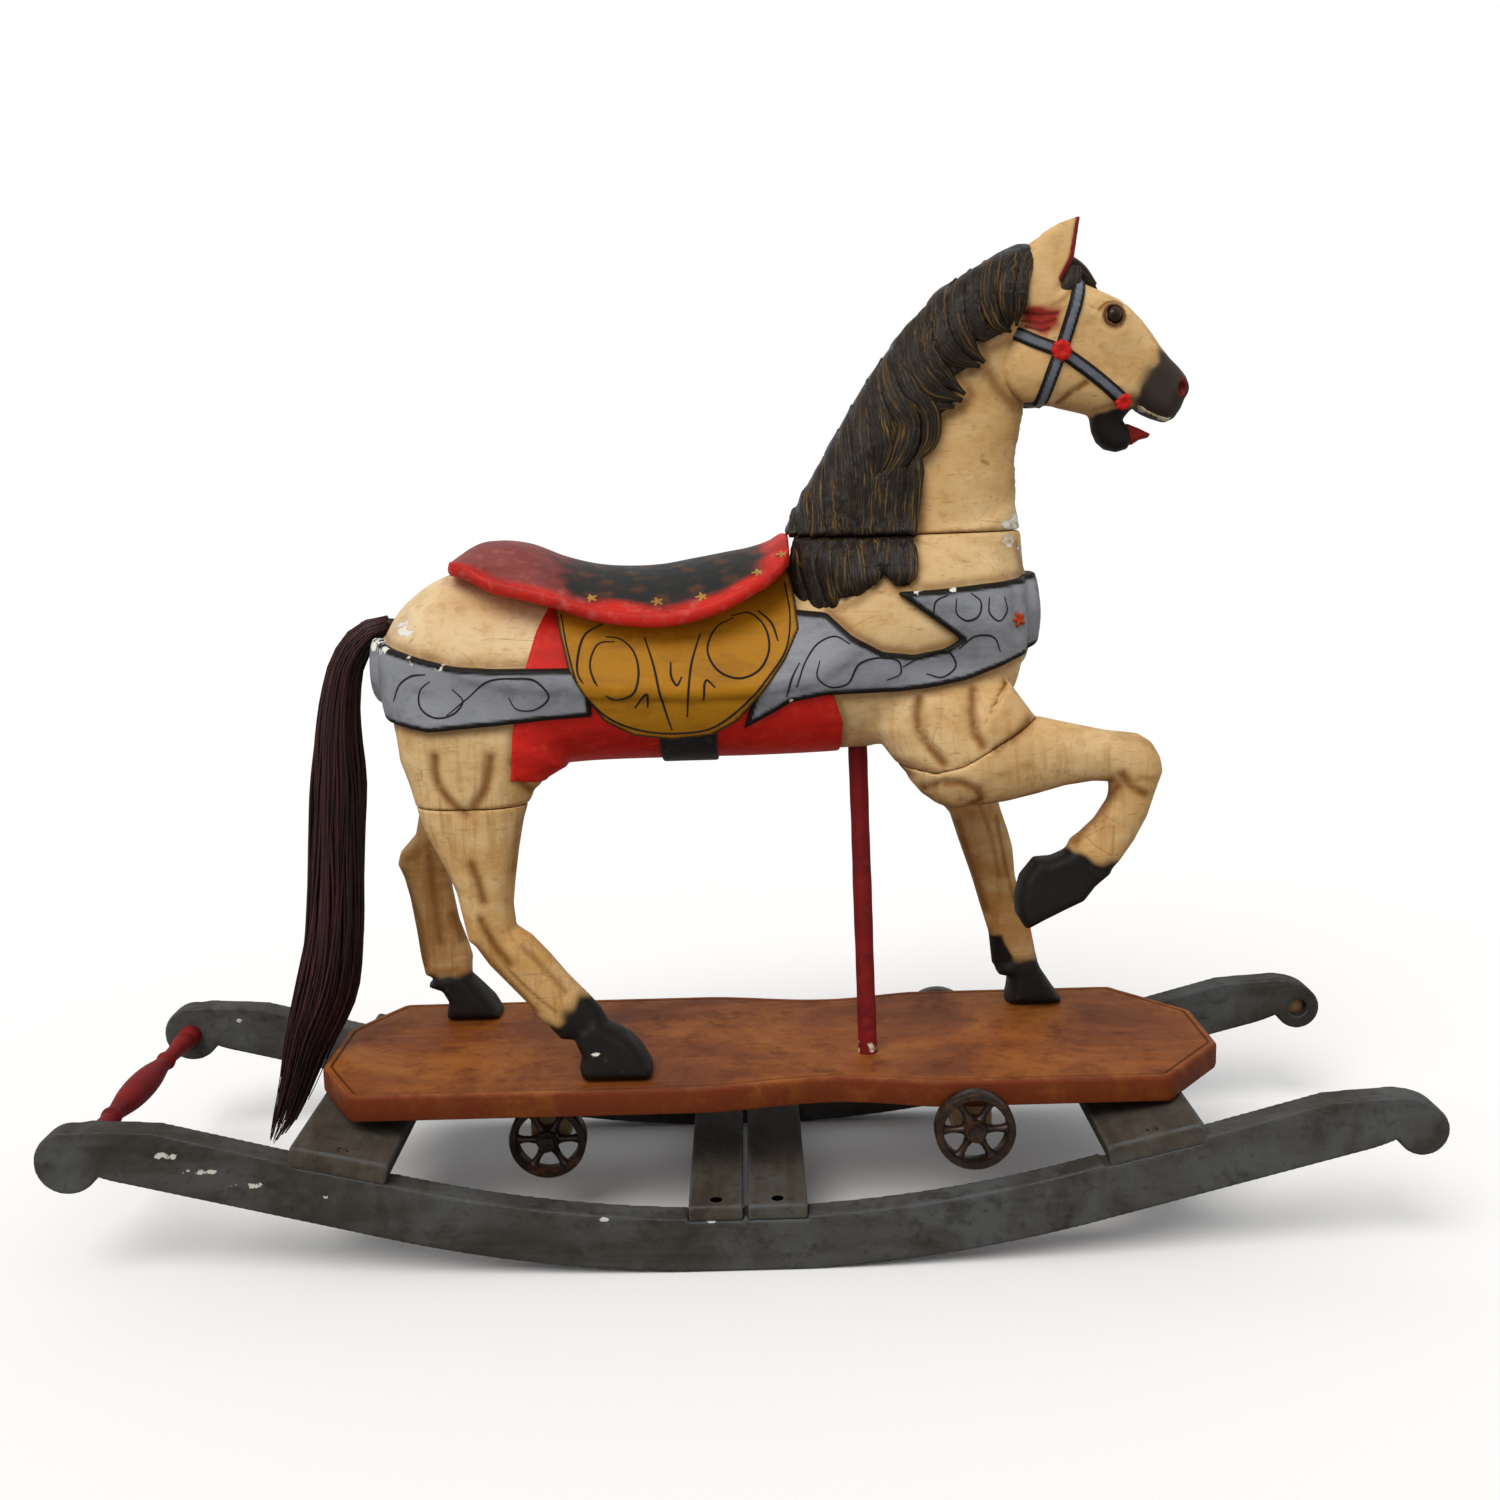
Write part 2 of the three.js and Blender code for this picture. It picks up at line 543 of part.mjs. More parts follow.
block.slat_rear = slat(SLAT_REAR_X);
block.slat_front = slat(SLAT_FRONT_X);
block.slat_middle_rear = middleSlat(MIDDLE_SLAT.edges[0]);
block.slat_middle_front = middleSlat(MIDDLE_SLAT.edges[1]);

const slope = radians(SLAT_SLOPE);
const centreTop = BOARD_LOW - GAP - SLAT_WIDTH / 2 * Math.sin(slope);
const SCREWS = {
  slat_rear: [SLAT_REAR_X, centreTop, slope],
  slat_middle_rear: [-28, MIDDLE_SLAT.high, 0],
  slat_middle_front: [34, MIDDLE_SLAT.high, 0],
  slat_front: [SLAT_FRONT_X, centreTop, -slope],
};
for (const [side, sign] of [['right', -1], ['left', 1]]) {
  const outer = sign * ROCKER_OUTER;
  const inner = sign * (ROCKER_OUTER - ROCKER_THICK);
  const frontSocket = rod(
    [KNOB_FRONT.x, inner - sign * 4, KNOB_FRONT.z], [KNOB_FRONT.x, inner + sign * SOCKET_DEPTH, KNOB_FRONT.z],
    SOCKET_RADIUS);
  const rearSocket = rod(
    [KNOB_REAR.x, inner - sign * 4, KNOB_REAR.z], [KNOB_REAR.x, inner + sign * (SOCKET_DEPTH + GAP), KNOB_REAR.z],
    TENON_RADIUS + GAP);
  let rocker = sidePrism(rockerShape(), Math.min(inner, outer), Math.max(inner, outer));
  rocker = cut(
    rocker, frontSocket, rearSocket, slat(SLAT_REAR_X, GAP), slat(SLAT_FRONT_X, GAP),
    ...MIDDLE_SLAT.edges.map((edges) => middleSlat(edges, GAP)));
  for (const [slatName, [x, z, lean]] of Object.entries(SCREWS)) {
    const y = sign * (ROCKER_OUTER - ROCKER_THICK / 2);
    const room = screw(x, y, z, lean, GAP);
    block[slatName] = cut(block[slatName], room);
    rocker = cut(rocker, room);
    block[`${slatName}_screw_${side}`] = screw(x, y, z, lean);
  }
  block[`rocker_${side}`] = rocker;
}

// ---- turned spindle between the rear knobs: [distance from the middle, radius] ----
const SPINDLE = [
  [0, 16], [26, 15], [50, 12], [74, 8.6], [82, 11], [88, 8.4], [120, 9.4], [140, 11.5],
  [150, 9], [158, 12.5], [169.5, 12.5],
];
function spindle() {
  const half = SPINDLE.map(([h, r]) => new THREE.Vector2(r, h));
  const tenon = [[TENON_RADIUS, 169.5], [TENON_RADIUS, 170 + SOCKET_DEPTH - 1], [0, 170 + SOCKET_DEPTH - 1]]
    .map(([r, h]) => new THREE.Vector2(r, h));
  const upper = [...half, ...tenon];
  const lower = upper.slice(1).reverse().map(({ x, y }) => new THREE.Vector2(x, -y));
  const geometry = new THREE.LatheGeometry([...lower, ...upper], 12);
  geometry.translate(KNOB_REAR.x, 0, KNOB_REAR.z);
  return toSolid(geometry);
}
block.rear_spindle = spindle();

// ---- platform ----
function boardOutline() {
  const waistStart = -45;
  const waistEnd = 205;
  const steps = 14;
  const side = [[-452, 60], [-400, BOARD_HALF]];
  for (let k = 0; k <= steps; k += 1) {
    const along = k / steps;
    const depth = WAIST_DEPTH * Math.sin(Math.PI * along ** 1.2) ** 1.5;
    side.push([waistStart + (waistEnd - waistStart) * along, BOARD_HALF - depth]);
  }
  side.push([440, BOARD_HALF], [515, 50]);
  return [...side, ...side.map(([x, y]) => [x, -y]).reverse()];
}

const pole = (extra) => rod(
  POLE_FOOT.map((v, i) => (i === 2 ? v - extra : v)), POLE_HEAD.map((v, i) => (i === 2 ? v + extra : v)),
  POLE_RADIUS + extra);

// Bolt up through the board into a standing hoof.
function hoofBolt(x, y, extra = 0) {
  const profile = [
    [0, -6 - extra], [8 + extra, -6 - extra], [8 + extra, 0], [4 + extra, 0.4], [4 + extra, 62 + extra],
    [0, 62 + extra],
  ].map(([r, h]) => new THREE.Vector2(r, h));
  const geometry = new THREE.LatheGeometry(profile, 8);
  geometry.rotateX(Math.PI / 2);
  geometry.translate(x, y, BOARD_LOW - GAP);
  return toSolid(geometry);
}

block.platform_board = planPrism(boardOutline(), BOARD_LOW, BOARD_TOP);
block.support_pole = pole(0);
block.platform_board = cut(block.platform_board, pole(GAP));
block.trunk = cut(block.trunk, pole(GAP));

const BOLTED = {
  hind_right: ['hind_leg_right', HOOVES.hindRight],
  hind_left: ['hind_leg_left', HOOVES.hindLeft],
  fore_left: ['foreleg_left', HOOVES.foreLeft],
};
for (const [place, [leg, [groundX, pasternX, y]]] of Object.entries(BOLTED)) {
  const x = (groundX + pasternX) / 2;
  const room = hoofBolt(x, y, GAP);
  block.platform_board = cut(block.platform_board, room);
  block[leg] = cut(block[leg], room);
  block[`hoof_bolt_${place}`] = hoofBolt(x, y);
}

// ---- axles, bearers and wheels ----
function bearer({ x, z }, halfLength, halfWidth) {
  const wood = box(x - halfWidth, x + halfWidth, -halfLength, halfLength, z - 11, BOARD_LOW - GAP);
  return cut(wood, rod([x, -halfLength - 5, z], [x, halfLength + 5, z], AXLE_RADIUS + GAP));
}

function wheel({ x, z, outer }, sign) {
  const inner = outer - WHEEL_WIDTH;
  const tread = [[34, 0], [41, 0], [41, WHEEL_WIDTH], [34, WHEEL_WIDTH], [34, 0]];
  const hub = [
    [AXLE_RADIUS + GAP, -2], [12, -2], [12, WHEEL_WIDTH], [AXLE_RADIUS + GAP, WHEEL_WIDTH],
    [AXLE_RADIUS + GAP, -2],
  ];
  const ring = (profile, sides) => toSolid(
    new THREE.LatheGeometry(profile.map(([r, h]) => new THREE.Vector2(r, h)), sides));
  let solid = join(ring(tread, 20), ring(hub, 10));
  for (let k = 0; k < 6; k += 1) {
    const spoke = new THREE.BoxGeometry(26, 9, 8);
    spoke.translate(23, WHEEL_WIDTH / 2, 0);
    spoke.rotateY(k * Math.PI / 3);
    solid = join(solid, toSolid(spoke));
  }
  const placed = new THREE.Matrix4().makeTranslation(x, sign * inner, z);
  if (sign < 0) placed.multiply(new THREE.Matrix4().makeRotationX(Math.PI));
  return toSolid(toGeometry(solid).applyMatrix4(placed));
}

for (const [place, axle, reach] of [['rear', REAR_AXLE, 74], ['front', FRONT_AXLE, 143]]) {
  block[`${place}_bearer`] = bearer(axle, reach, 20);
  const end = axle.outer + 5;
  block[`${place}_axle`] = join(
    rod([axle.x, -end, axle.z], [axle.x, end, axle.z], AXLE_RADIUS),
    rod([axle.x, -end - 4, axle.z], [axle.x, -axle.outer - 1, axle.z], 8),
    rod([axle.x, axle.outer + 1, axle.z], [axle.x, end + 4, axle.z], 8));
  block[`${place}_wheel_right`] = wheel(axle, -1);
  block[`${place}_wheel_left`] = wheel(axle, 1);
}

// ---- finishes ----
const FINISHES = {
  cream_paint: [0xe3c793, 0.55, 0],
  dark_hair: [0x2c2824, 0.6, 0],
  saddle_paint: [0x9c2020, 0.45, 0],
  mustard_paint: [0xa57a1c, 0.5, 0],
  red_paint: [0xb3211d, 0.5, 0],
  blue_grey_paint: [0x7b8494, 0.5, 0],
  black_paint: [0x2b2d30, 0.5, 0],
  horse_hair: [0x2e1517, 0.6, 0],
  eye_glass: [0x1c0f08, 0.1, 0],
  sienna_paint: [0xa4501e, 0.5, 0],
  rocker_paint: [0x474a48, 0.6, 0],
  pole_paint: [0x8c1f22, 0.45, 0],
  bare_wood: [0xb08a5c, 0.8, 0],
  cast_iron: [0x3a2b22, 0.7, 0.5],
};
const FINISH_OF = [
  [/^(trunk|neck|head|foreleg_(right|left)|hind_leg_(right|left))$/, 'cream_paint'],
  [/^mane/, 'dark_hair'],
  [/^saddle_seat/, 'saddle_paint'],
  [/^saddle_flap/, 'mustard_paint'],
  [/^(saddle_cloth|rosette)/, 'red_paint'],
  [/^(rear_strap|breast_strap|bridle)/, 'blue_grey_paint'],
  [/^girth/, 'black_paint'],
  [/^tail$/, 'horse_hair'],
  [/^eye/, 'eye_glass'],
  [/^platform_board/, 'sienna_paint'],
  [/screw|bolt|wheel|axle/, 'cast_iron'],
  [/^(rocker|slat)/, 'rocker_paint'],
  [/^(support_pole|rear_spindle)/, 'pole_paint'],
  [/dowel|bearer/, 'bare_wood'],
];

const horse = new THREE.Group();
for (const [name, solid] of Object.entries(block)) {
  const finish = FINISH_OF.find(([pattern]) => pattern.test(name))[1];
  const [color, roughness, metalness] = FINISHES[finish];
  const mesh = new THREE.Mesh(toGeometry(solid), new THREE.MeshStandardMaterial({ color, roughness, metalness }));
  mesh.name = name;
  horse.add(mesh);
}

export default horse;
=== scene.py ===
import math

import bpy
import numpy as np
from mathutils import Matrix, Vector


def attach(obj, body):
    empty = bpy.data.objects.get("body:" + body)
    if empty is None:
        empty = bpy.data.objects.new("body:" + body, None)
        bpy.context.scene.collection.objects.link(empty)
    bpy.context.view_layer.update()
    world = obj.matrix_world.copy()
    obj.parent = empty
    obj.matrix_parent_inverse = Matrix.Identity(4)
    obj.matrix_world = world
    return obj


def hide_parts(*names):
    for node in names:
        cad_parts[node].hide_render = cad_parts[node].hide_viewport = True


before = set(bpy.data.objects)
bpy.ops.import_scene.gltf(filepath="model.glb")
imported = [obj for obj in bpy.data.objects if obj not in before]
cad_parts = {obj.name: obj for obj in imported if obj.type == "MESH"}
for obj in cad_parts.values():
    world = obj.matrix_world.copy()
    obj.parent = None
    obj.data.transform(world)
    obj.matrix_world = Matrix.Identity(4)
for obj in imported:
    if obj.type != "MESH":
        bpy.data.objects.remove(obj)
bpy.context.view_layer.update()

MM = 0.001
COARSE = 1.0
RNG = np.random.default_rng(7)


# ------------------------------------------------------------------ numbers
def spline(rows, count, keys=2):
    """Smooth run through the rows, evenly spaced along their first `keys` columns."""
    rows = np.asarray(rows, float)
    chord = np.r_[0, np.cumsum(np.linalg.norm(np.diff(rows[:, :keys], axis=0), axis=1))]
    slopes = np.gradient(rows, chord, axis=0)
    at = np.linspace(0, chord[-1], count)
    i = np.clip(np.searchsorted(chord, at, side="right") - 1, 0, len(rows) - 2)
    reach = (chord[i + 1] - chord[i])[:, None]
    t = ((at - chord[i])[:, None]) / reach
    first = (2 * t**3 - 3 * t**2 + 1) * rows[i] + (t**3 - 2 * t**2 + t) * reach * slopes[i]
    return first + (3 * t**2 - 2 * t**3) * rows[i + 1] + (t**3 - t**2) * reach * slopes[i + 1]


def smooth_step(value, low, high):
    t = np.clip((value - low) / (high - low), 0, 1)
    return t * t * (3 - 2 * t)


def soft_min(a, b, k):
    h = np.clip(0.5 + 0.5 * (b - a) / k, 0, 1)
    return b + (a - b) * h - k * h * (1 - h)


def soft_max(a, b, k):
    return -soft_min(-a, -b, k)


def line_distance(x, z, points):
    """Distance in side view from each (x, z) to an open line through the points."""
    best = np.full(np.broadcast(x, z).shape, 1e9)
    for (x0, z0), (x1, z1) in zip(points[:-1], points[1:]):
        dx, dz = x1 - x0, z1 - z0
        t = np.clip(((x - x0) * dx + (z - z0) * dz) / (dx * dx + dz * dz + 1e-9), 0, 1)
        best = np.minimum(best, np.hypot(x - x0 - t * dx, z - z0 - t * dz))
    return best


def outline_distance(x, z, points):
    """Signed distance in side view to a closed outline, negative inside."""
    ring = list(points) + [points[0]]
    best = line_distance(x, z, ring)
    inside = np.zeros(best.shape, bool)
    for (x0, z0), (x1, z1) in zip(ring[:-1], ring[1:]):
        if z0 == z1:
            continue
        crosses = (z0 > z) != (z1 > z)
        inside ^= crosses & (x < (x1 - x0) * (z - z0) / (z1 - z0) + x0)
    return np.where(inside, -best, best)


def ripple(x, y, z, scale, seed=0):
    """Cheap smooth noise between -1 and 1."""
    total = 0
    for k in range(4):
        a, b, c, p = np.random.default_rng(seed * 10 + k).uniform(-1, 1, 4)
        total = total + np.sin((a * x + b * y + c * z) * 2.2 / scale + 9 * p)
    return total / 4


# ------------------------------------------------------------------ fields on a grid
class Grid:
    def __init__(self, low, high, step):
        self.step = step * COARSE
        self.low = np.array(low, float)
        counts = np.ceil((np.array(high, float) - self.low) / self.step).astype(int) + 1
        axes = [self.low[k] + self.step * np.arange(counts[k]) for k in range(3)]
        self.x = axes[0][:, None, None]
        self.y = axes[1][None, :, None]
        self.z = axes[2][None, None, :]

    def side(self):
        return self.x[:, 0, :], self.z[:, 0, :]


def rounded(parts, power):
    """Distance-like value of a rounded form from its scaled offsets: [(offset, radius), ...]."""
    ratios = [np.abs(offset) / radius for offset, radius in parts]
    size = sum(r**power for r in ratios) ** (1 / power) + 1e-6
    slope = sum((r ** (power - 1) / radius) ** 2 for r, (_, radius) in zip(ratios, parts))
    slope = np.sqrt(slope) * size ** (1 - power) + 1e-5
    return (size - 1) / slope


def limb(grid, stations, power=2.0, samples=70):
    """Limb along stations [x, z, y, half depth, half width]."""
    path = spline([row[:5] for row in stations], samples)
    tangent = np.gradient(path[:, :2], axis=0)
    tangent /= np.linalg.norm(tangent, axis=1)[:, None]
    x, z = grid.side()
    dx = x[..., None] - path[:, 0]
    dz = z[..., None] - path[:, 1]
    nearest = np.argmin((dx**2 + dz**2) / path[:, 3] ** 2, axis=-1)
    at = path[nearest]
    heading = tangent[nearest]
    dx = x - at[..., 0]
    dz = z - at[..., 1]
    along = dx * heading[..., 0] + dz * heading[..., 1]
    out = dx * heading[..., 1] - dz * heading[..., 0]
    beyond = np.where(nearest == 0, np.maximum(-along, 0), 0)
    beyond = beyond + np.where(nearest == samples - 1, np.maximum(along, 0), 0)
    cap = 0.7 * np.minimum(at[..., 3], at[..., 4])
    flat = lambda a: a[:, None, :]
    return rounded(
        [(flat(out), flat(at[..., 3])), (grid.y - flat(at[..., 2]), flat(at[..., 4])),
         (flat(beyond), flat(cap))],
        power)


def puffed(grid, outline, thickness, depth, y=0.0, power=2.0):
    """Side outline swollen to a thickness, with its edges rounded over `depth`."""
    x, z = grid.side()
    edge = outline_distance(x, z, outline)
    half = thickness(x, z) if callable(thickness) else np.full(edge.shape, float(thickness))
    rim = np.maximum(1 + edge / depth, 0) * depth
    return rounded([(rim[:, None, :], depth), (grid.y - y, half[:, None, :])], power)


def ball(grid, centre, radii):
    radii = np.broadcast_to(np.asarray(radii, float), 3)
    offsets = (grid.x - centre[0], grid.y - centre[1], grid.z - centre[2])
    return rounded(list(zip(offsets, radii)), 2.0)


def groove(grid, field, lines, mirrored=True):
    """Carves [points, depth, width] lines; a negative depth raises a ridge."""
    x, z = grid.side()
    for points, depth, width in lines:
        path = spline(points, 6 * len(points)) if len(points) > 2 else points
        mark = depth * np.exp(-((line_distance(x, z, path) / width) ** 2))
        sides = 1 if mirrored else (grid.y < 0)
        field = field + mark[:, None, :] * sides
    return field


def even(field, grid):
    """Rescales a field so that near its surface it reads as millimetres."""
    slope = np.sqrt(sum(part**2 for part in np.gradient(field, grid.step)))
    return field / np.clip(slope, 0.35, 2.5)


def sample(field, grid, points):
    spot = (np.asarray(points, float) - grid.low) / grid.step
    spot = np.clip(spot, 0, np.array(field.shape) - 1.001)
    base = spot.astype(int)
    t = spot - base
    total = 0
    for corner in np.ndindex(2, 2, 2):
        weight = np.prod(np.where(corner, t, 1 - t), axis=1)
        total = total + weight * field[tuple((base + corner).T)]
    return total


def surface(field, grid):
    """Closed quad mesh of the field's zero surface."""
    inside = field < 0
    cells = np.array(field.shape) - 1
    count = np.zeros(cells, np.int8)
    for a, b, c in np.ndindex(2, 2, 2):
        count += inside[a:cells[0] + a, b:cells[1] + b, c:cells[2] + c]
    crossed = np.argwhere((count > 0) & (count < 8))
    index = np.full(cells, -1, np.int64)
    index[tuple(crossed.T)] = np.arange(len(crossed))
    total = np.zeros((len(crossed), 3))
    hits = np.zeros(len(crossed))
    unit = np.eye(3, dtype=int)
    for axis in range(3):
        for a, b in np.ndindex(2, 2):
            start = crossed + a * unit[(axis + 1) % 3] + b * unit[(axis + 2) % 3]
            v0 = field[tuple(start.T)]
            v1 = field[tuple((start + unit[axis]).T)]
            cut = (v0 < 0) != (v1 < 0)
            t = np.divide(v0, v0 - v1, out=np.zeros_like(v0), where=cut)
            total[cut] += (start + t[:, None] * unit[axis])[cut]
            hits += cut
    vertices = grid.low + grid.step * total / hits[:, None]
    quads = []
    for axis in range(3):
        u, v = unit[(axis + 1) % 3], unit[(axis + 2) % 3]
        low_side = inside[tuple(slice(0, -1) if k == axis else slice(1, -1) for k in range(3))]
        high_side = inside[tuple(slice(1, None) if k == axis else slice(1, -1) for k in range(3))]
        spots = np.argwhere(low_side != high_side)
        solid_low = low_side[tuple(spots.T)]
        spots = spots + 1 - unit[axis]
        ring = [index[tuple(s.T)] for s in (spots, spots - u, spots - u - v, spots - v)]
        quad = np.stack(ring, axis=1)
        quad[~solid_low] = quad[~solid_low][:, ::-1]
        quads.append(quad)
    return vertices, np.vstack(quads)


def relax(vertices, quads, rounds=2, strength=0.5):
    edges = np.vstack([quads[:, [k, (k + 1) % 4]] for k in range(4)])
    degree = np.bincount(edges.ravel(), minlength=len(vertices))[:, None]
    for _ in range(rounds):
        total = np.zeros_like(vertices)
        for k in range(3):
            total[:, k] += np.bincount(edges[:, 0], vertices[edges[:, 1], k], len(vertices))
            total[:, k] += np.bincount(edges[:, 1], vertices[edges[:, 0], k], len(vertices))
        vertices = vertices + strength * (total / degree - vertices)
    return vertices


def hollows(vertices, quads, rounds=3):
    """How far each vertex lies below its neighbourhood, in millimetres: positive in a groove."""
    a, b, c, d = (vertices[quads[:, k]] for k in range(4))
    normal = np.cross(c - a, d - b)
    normals = np.zeros_like(vertices)
    for k in range(3):
        for corner in range(4):
            normals[:, k] += np.bincount(quads[:, corner], normal[:, k], len(vertices))
    normals /= np.linalg.norm(normals, axis=1)[:, None] + 1e-9
    return np.sum((relax(vertices, quads, rounds, 1.0) - vertices) * normals, axis=1)


# ------------------------------------------------------------------ meshes
def build(name, vertices, faces, body, replaces=(), smooth=True):
    """Object from millimetre vertices; faces are an array of quads or a list of polygons."""
    mesh = bpy.data.meshes.new(name)
    vertices = np.asarray(vertices, float) * MM
    if isinstance(faces, np.ndarray):
        width = faces.shape[1]
        mesh.vertices.add(len(vertices))
        mesh.vertices.foreach_set("co", vertices.ravel())
        mesh.loops.add(faces.size)
        mesh.loops.foreach_set("vertex_index", faces.ravel().astype(np.int32))
        mesh.polygons.add(len(faces))
        mesh.polygons.foreach_set("loop_start", np.arange(0, faces.size, width, dtype=np.int32))
        mesh.update(calc_edges=True)
        mesh.validate()
    else:
        mesh.from_pydata(vertices.tolist(), [], faces)
    mesh.polygons.foreach_set("use_smooth", np.full(len(mesh.polygons), smooth))
    piece = bpy.data.objects.new(name, mesh)
    bpy.context.scene.collection.objects.link(piece)
    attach(piece, body)
    if replaces:
        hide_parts(*replaces)
    return piece


def tint(piece, colours):
    """Stores a colour per vertex under the name that the paint materials read."""
    rgba = np.ones((len(piece.data.vertices), 4), np.float32)
    rgba[:, :3] = colours
    layer = piece.data.attributes.new("tint", "FLOAT_COLOR", "POINT")
    layer.data.foreach_set("color", rgba.ravel())


def mark(piece, name, values):
    layer = piece.data.attributes.new(name, "FLOAT", "POINT")
    layer.data.foreach_set("value", np.asarray(values, np.float32))


def sharpen(piece, degrees):
    """Keeps edges crisp where two faces meet at more than this angle."""
    with bpy.context.temp_override(object=piece, active_object=piece, selected_editable_objects=[piece],
                                   selected_objects=[piece]):
        bpy.ops.object.shade_smooth_by_angle(angle=math.radians(degrees))


def ring_skin(rings, closed=False, caps=True):
    """Faces over rings of equal length; the ends are capped unless the run closes on itself."""
    rings = np.asarray(rings, float)
    count, around = rings.shape[:2]
    vertices = rings.reshape(-1, 3)
    last = count if closed else count - 1
    i, j = np.meshgrid(np.arange(last), np.arange(around), indexing="ij")
    k = (j + 1) % around
    n = (i + 1) % count
    quads = np.stack([i * around + j, i * around + k, n * around + k, n * around + j],
                     axis=-1).reshape(-1, 4)
    faces = quads.tolist()
    if caps and not closed:
        faces.append(list(range(around))[::-1])
        faces.append([(count - 1) * around + s for s in range(around)])
    return vertices, faces


def merge(parts):
    """Joins several (vertices, faces) into one."""
    vertices, faces, base = [], [], 0
    for part_vertices, part_faces in parts:
        vertices.append(part_vertices)
        faces += [[base + v for v in face] for face in part_faces]
        base += len(part_vertices)
    return np.vstack(vertices), faces


def tube(path, radius, sides=8, squash=1.0, flat=(0, 1, 0)):
    """Closed tube; squash thins it along the `flat` direction. Radius may be one value or one per point."""
    path = np.asarray(path, float)
    radius = np.broadcast_to(np.asarray(radius, float), len(path))
    tangent = np.gradient(path, axis=0)
    tangent /= np.linalg.norm(tangent, axis=1)[:, None] + 1e-9
    flat = np.broadcast_to(np.asarray(flat, float), path.shape)
    side = np.cross(tangent, flat)
    side /= np.linalg.norm(side, axis=1)[:, None] + 1e-9
    up = np.cross(side, tangent)
    turn = np.linspace(0, 2 * np.pi, sides, endpoint=False)
    rings = [
        p + r * (np.cos(turn)[:, None] * s + squash * np.sin(turn)[:, None] * u)
        for p, r, s, u in zip(path, radius, side, up)
    ]
    vertices, faces = ring_skin(rings)
    return vertices, [face[::-1] for face in faces]


def lathe(profile, axis, centre, sides=48):
    """Turned form: profile rows are (distance along the axis, radius), closed onto the axis at its ends."""
    axis = np.asarray(axis, float)
    first = np.cross(axis, [0.3, 0.2, 0.9])
    first /= np.linalg.norm(first)
    second = np.cross(axis, first)
    turn = np.linspace(0, 2 * np.pi, sides, endpoint=False)[:, None]
    rings = [
        np.asarray(centre, float) + axis * h + r * (np.cos(turn) * first + np.sin(turn) * second)
        for h, r in profile
    ]
    return ring_skin(rings)


def sweep_outline(points, rows):
    """Plank: an outline in plan or side view, with rows of (inset, height) from underside to top."""
    points = np.asarray(points, float)
    before = points - np.roll(points, 1, axis=0)
    after = np.roll(points, -1, axis=0) - points
    normal = lambda e: np.stack([e[:, 1], -e[:, 0]], axis=1) / (np.linalg.norm(e, axis=1)[:, None] + 1e-9)
    first, second = normal(before), normal(after)
    middle = first + second
    middle /= np.linalg.norm(middle, axis=1)[:, None] + 1e-9
    reach = 1 / np.maximum(np.sum(middle * second, axis=1), 0.5)
    area = np.sum(points[:, 0] * np.roll(points[:, 1], -1) - points[:, 1] * np.roll(points[:, 0], -1))
    outward = middle * reach[:, None] * np.sign(area)
    return [np.column_stack([points - outward * inset, np.full(len(points), height)]) for inset,
            height in rows]


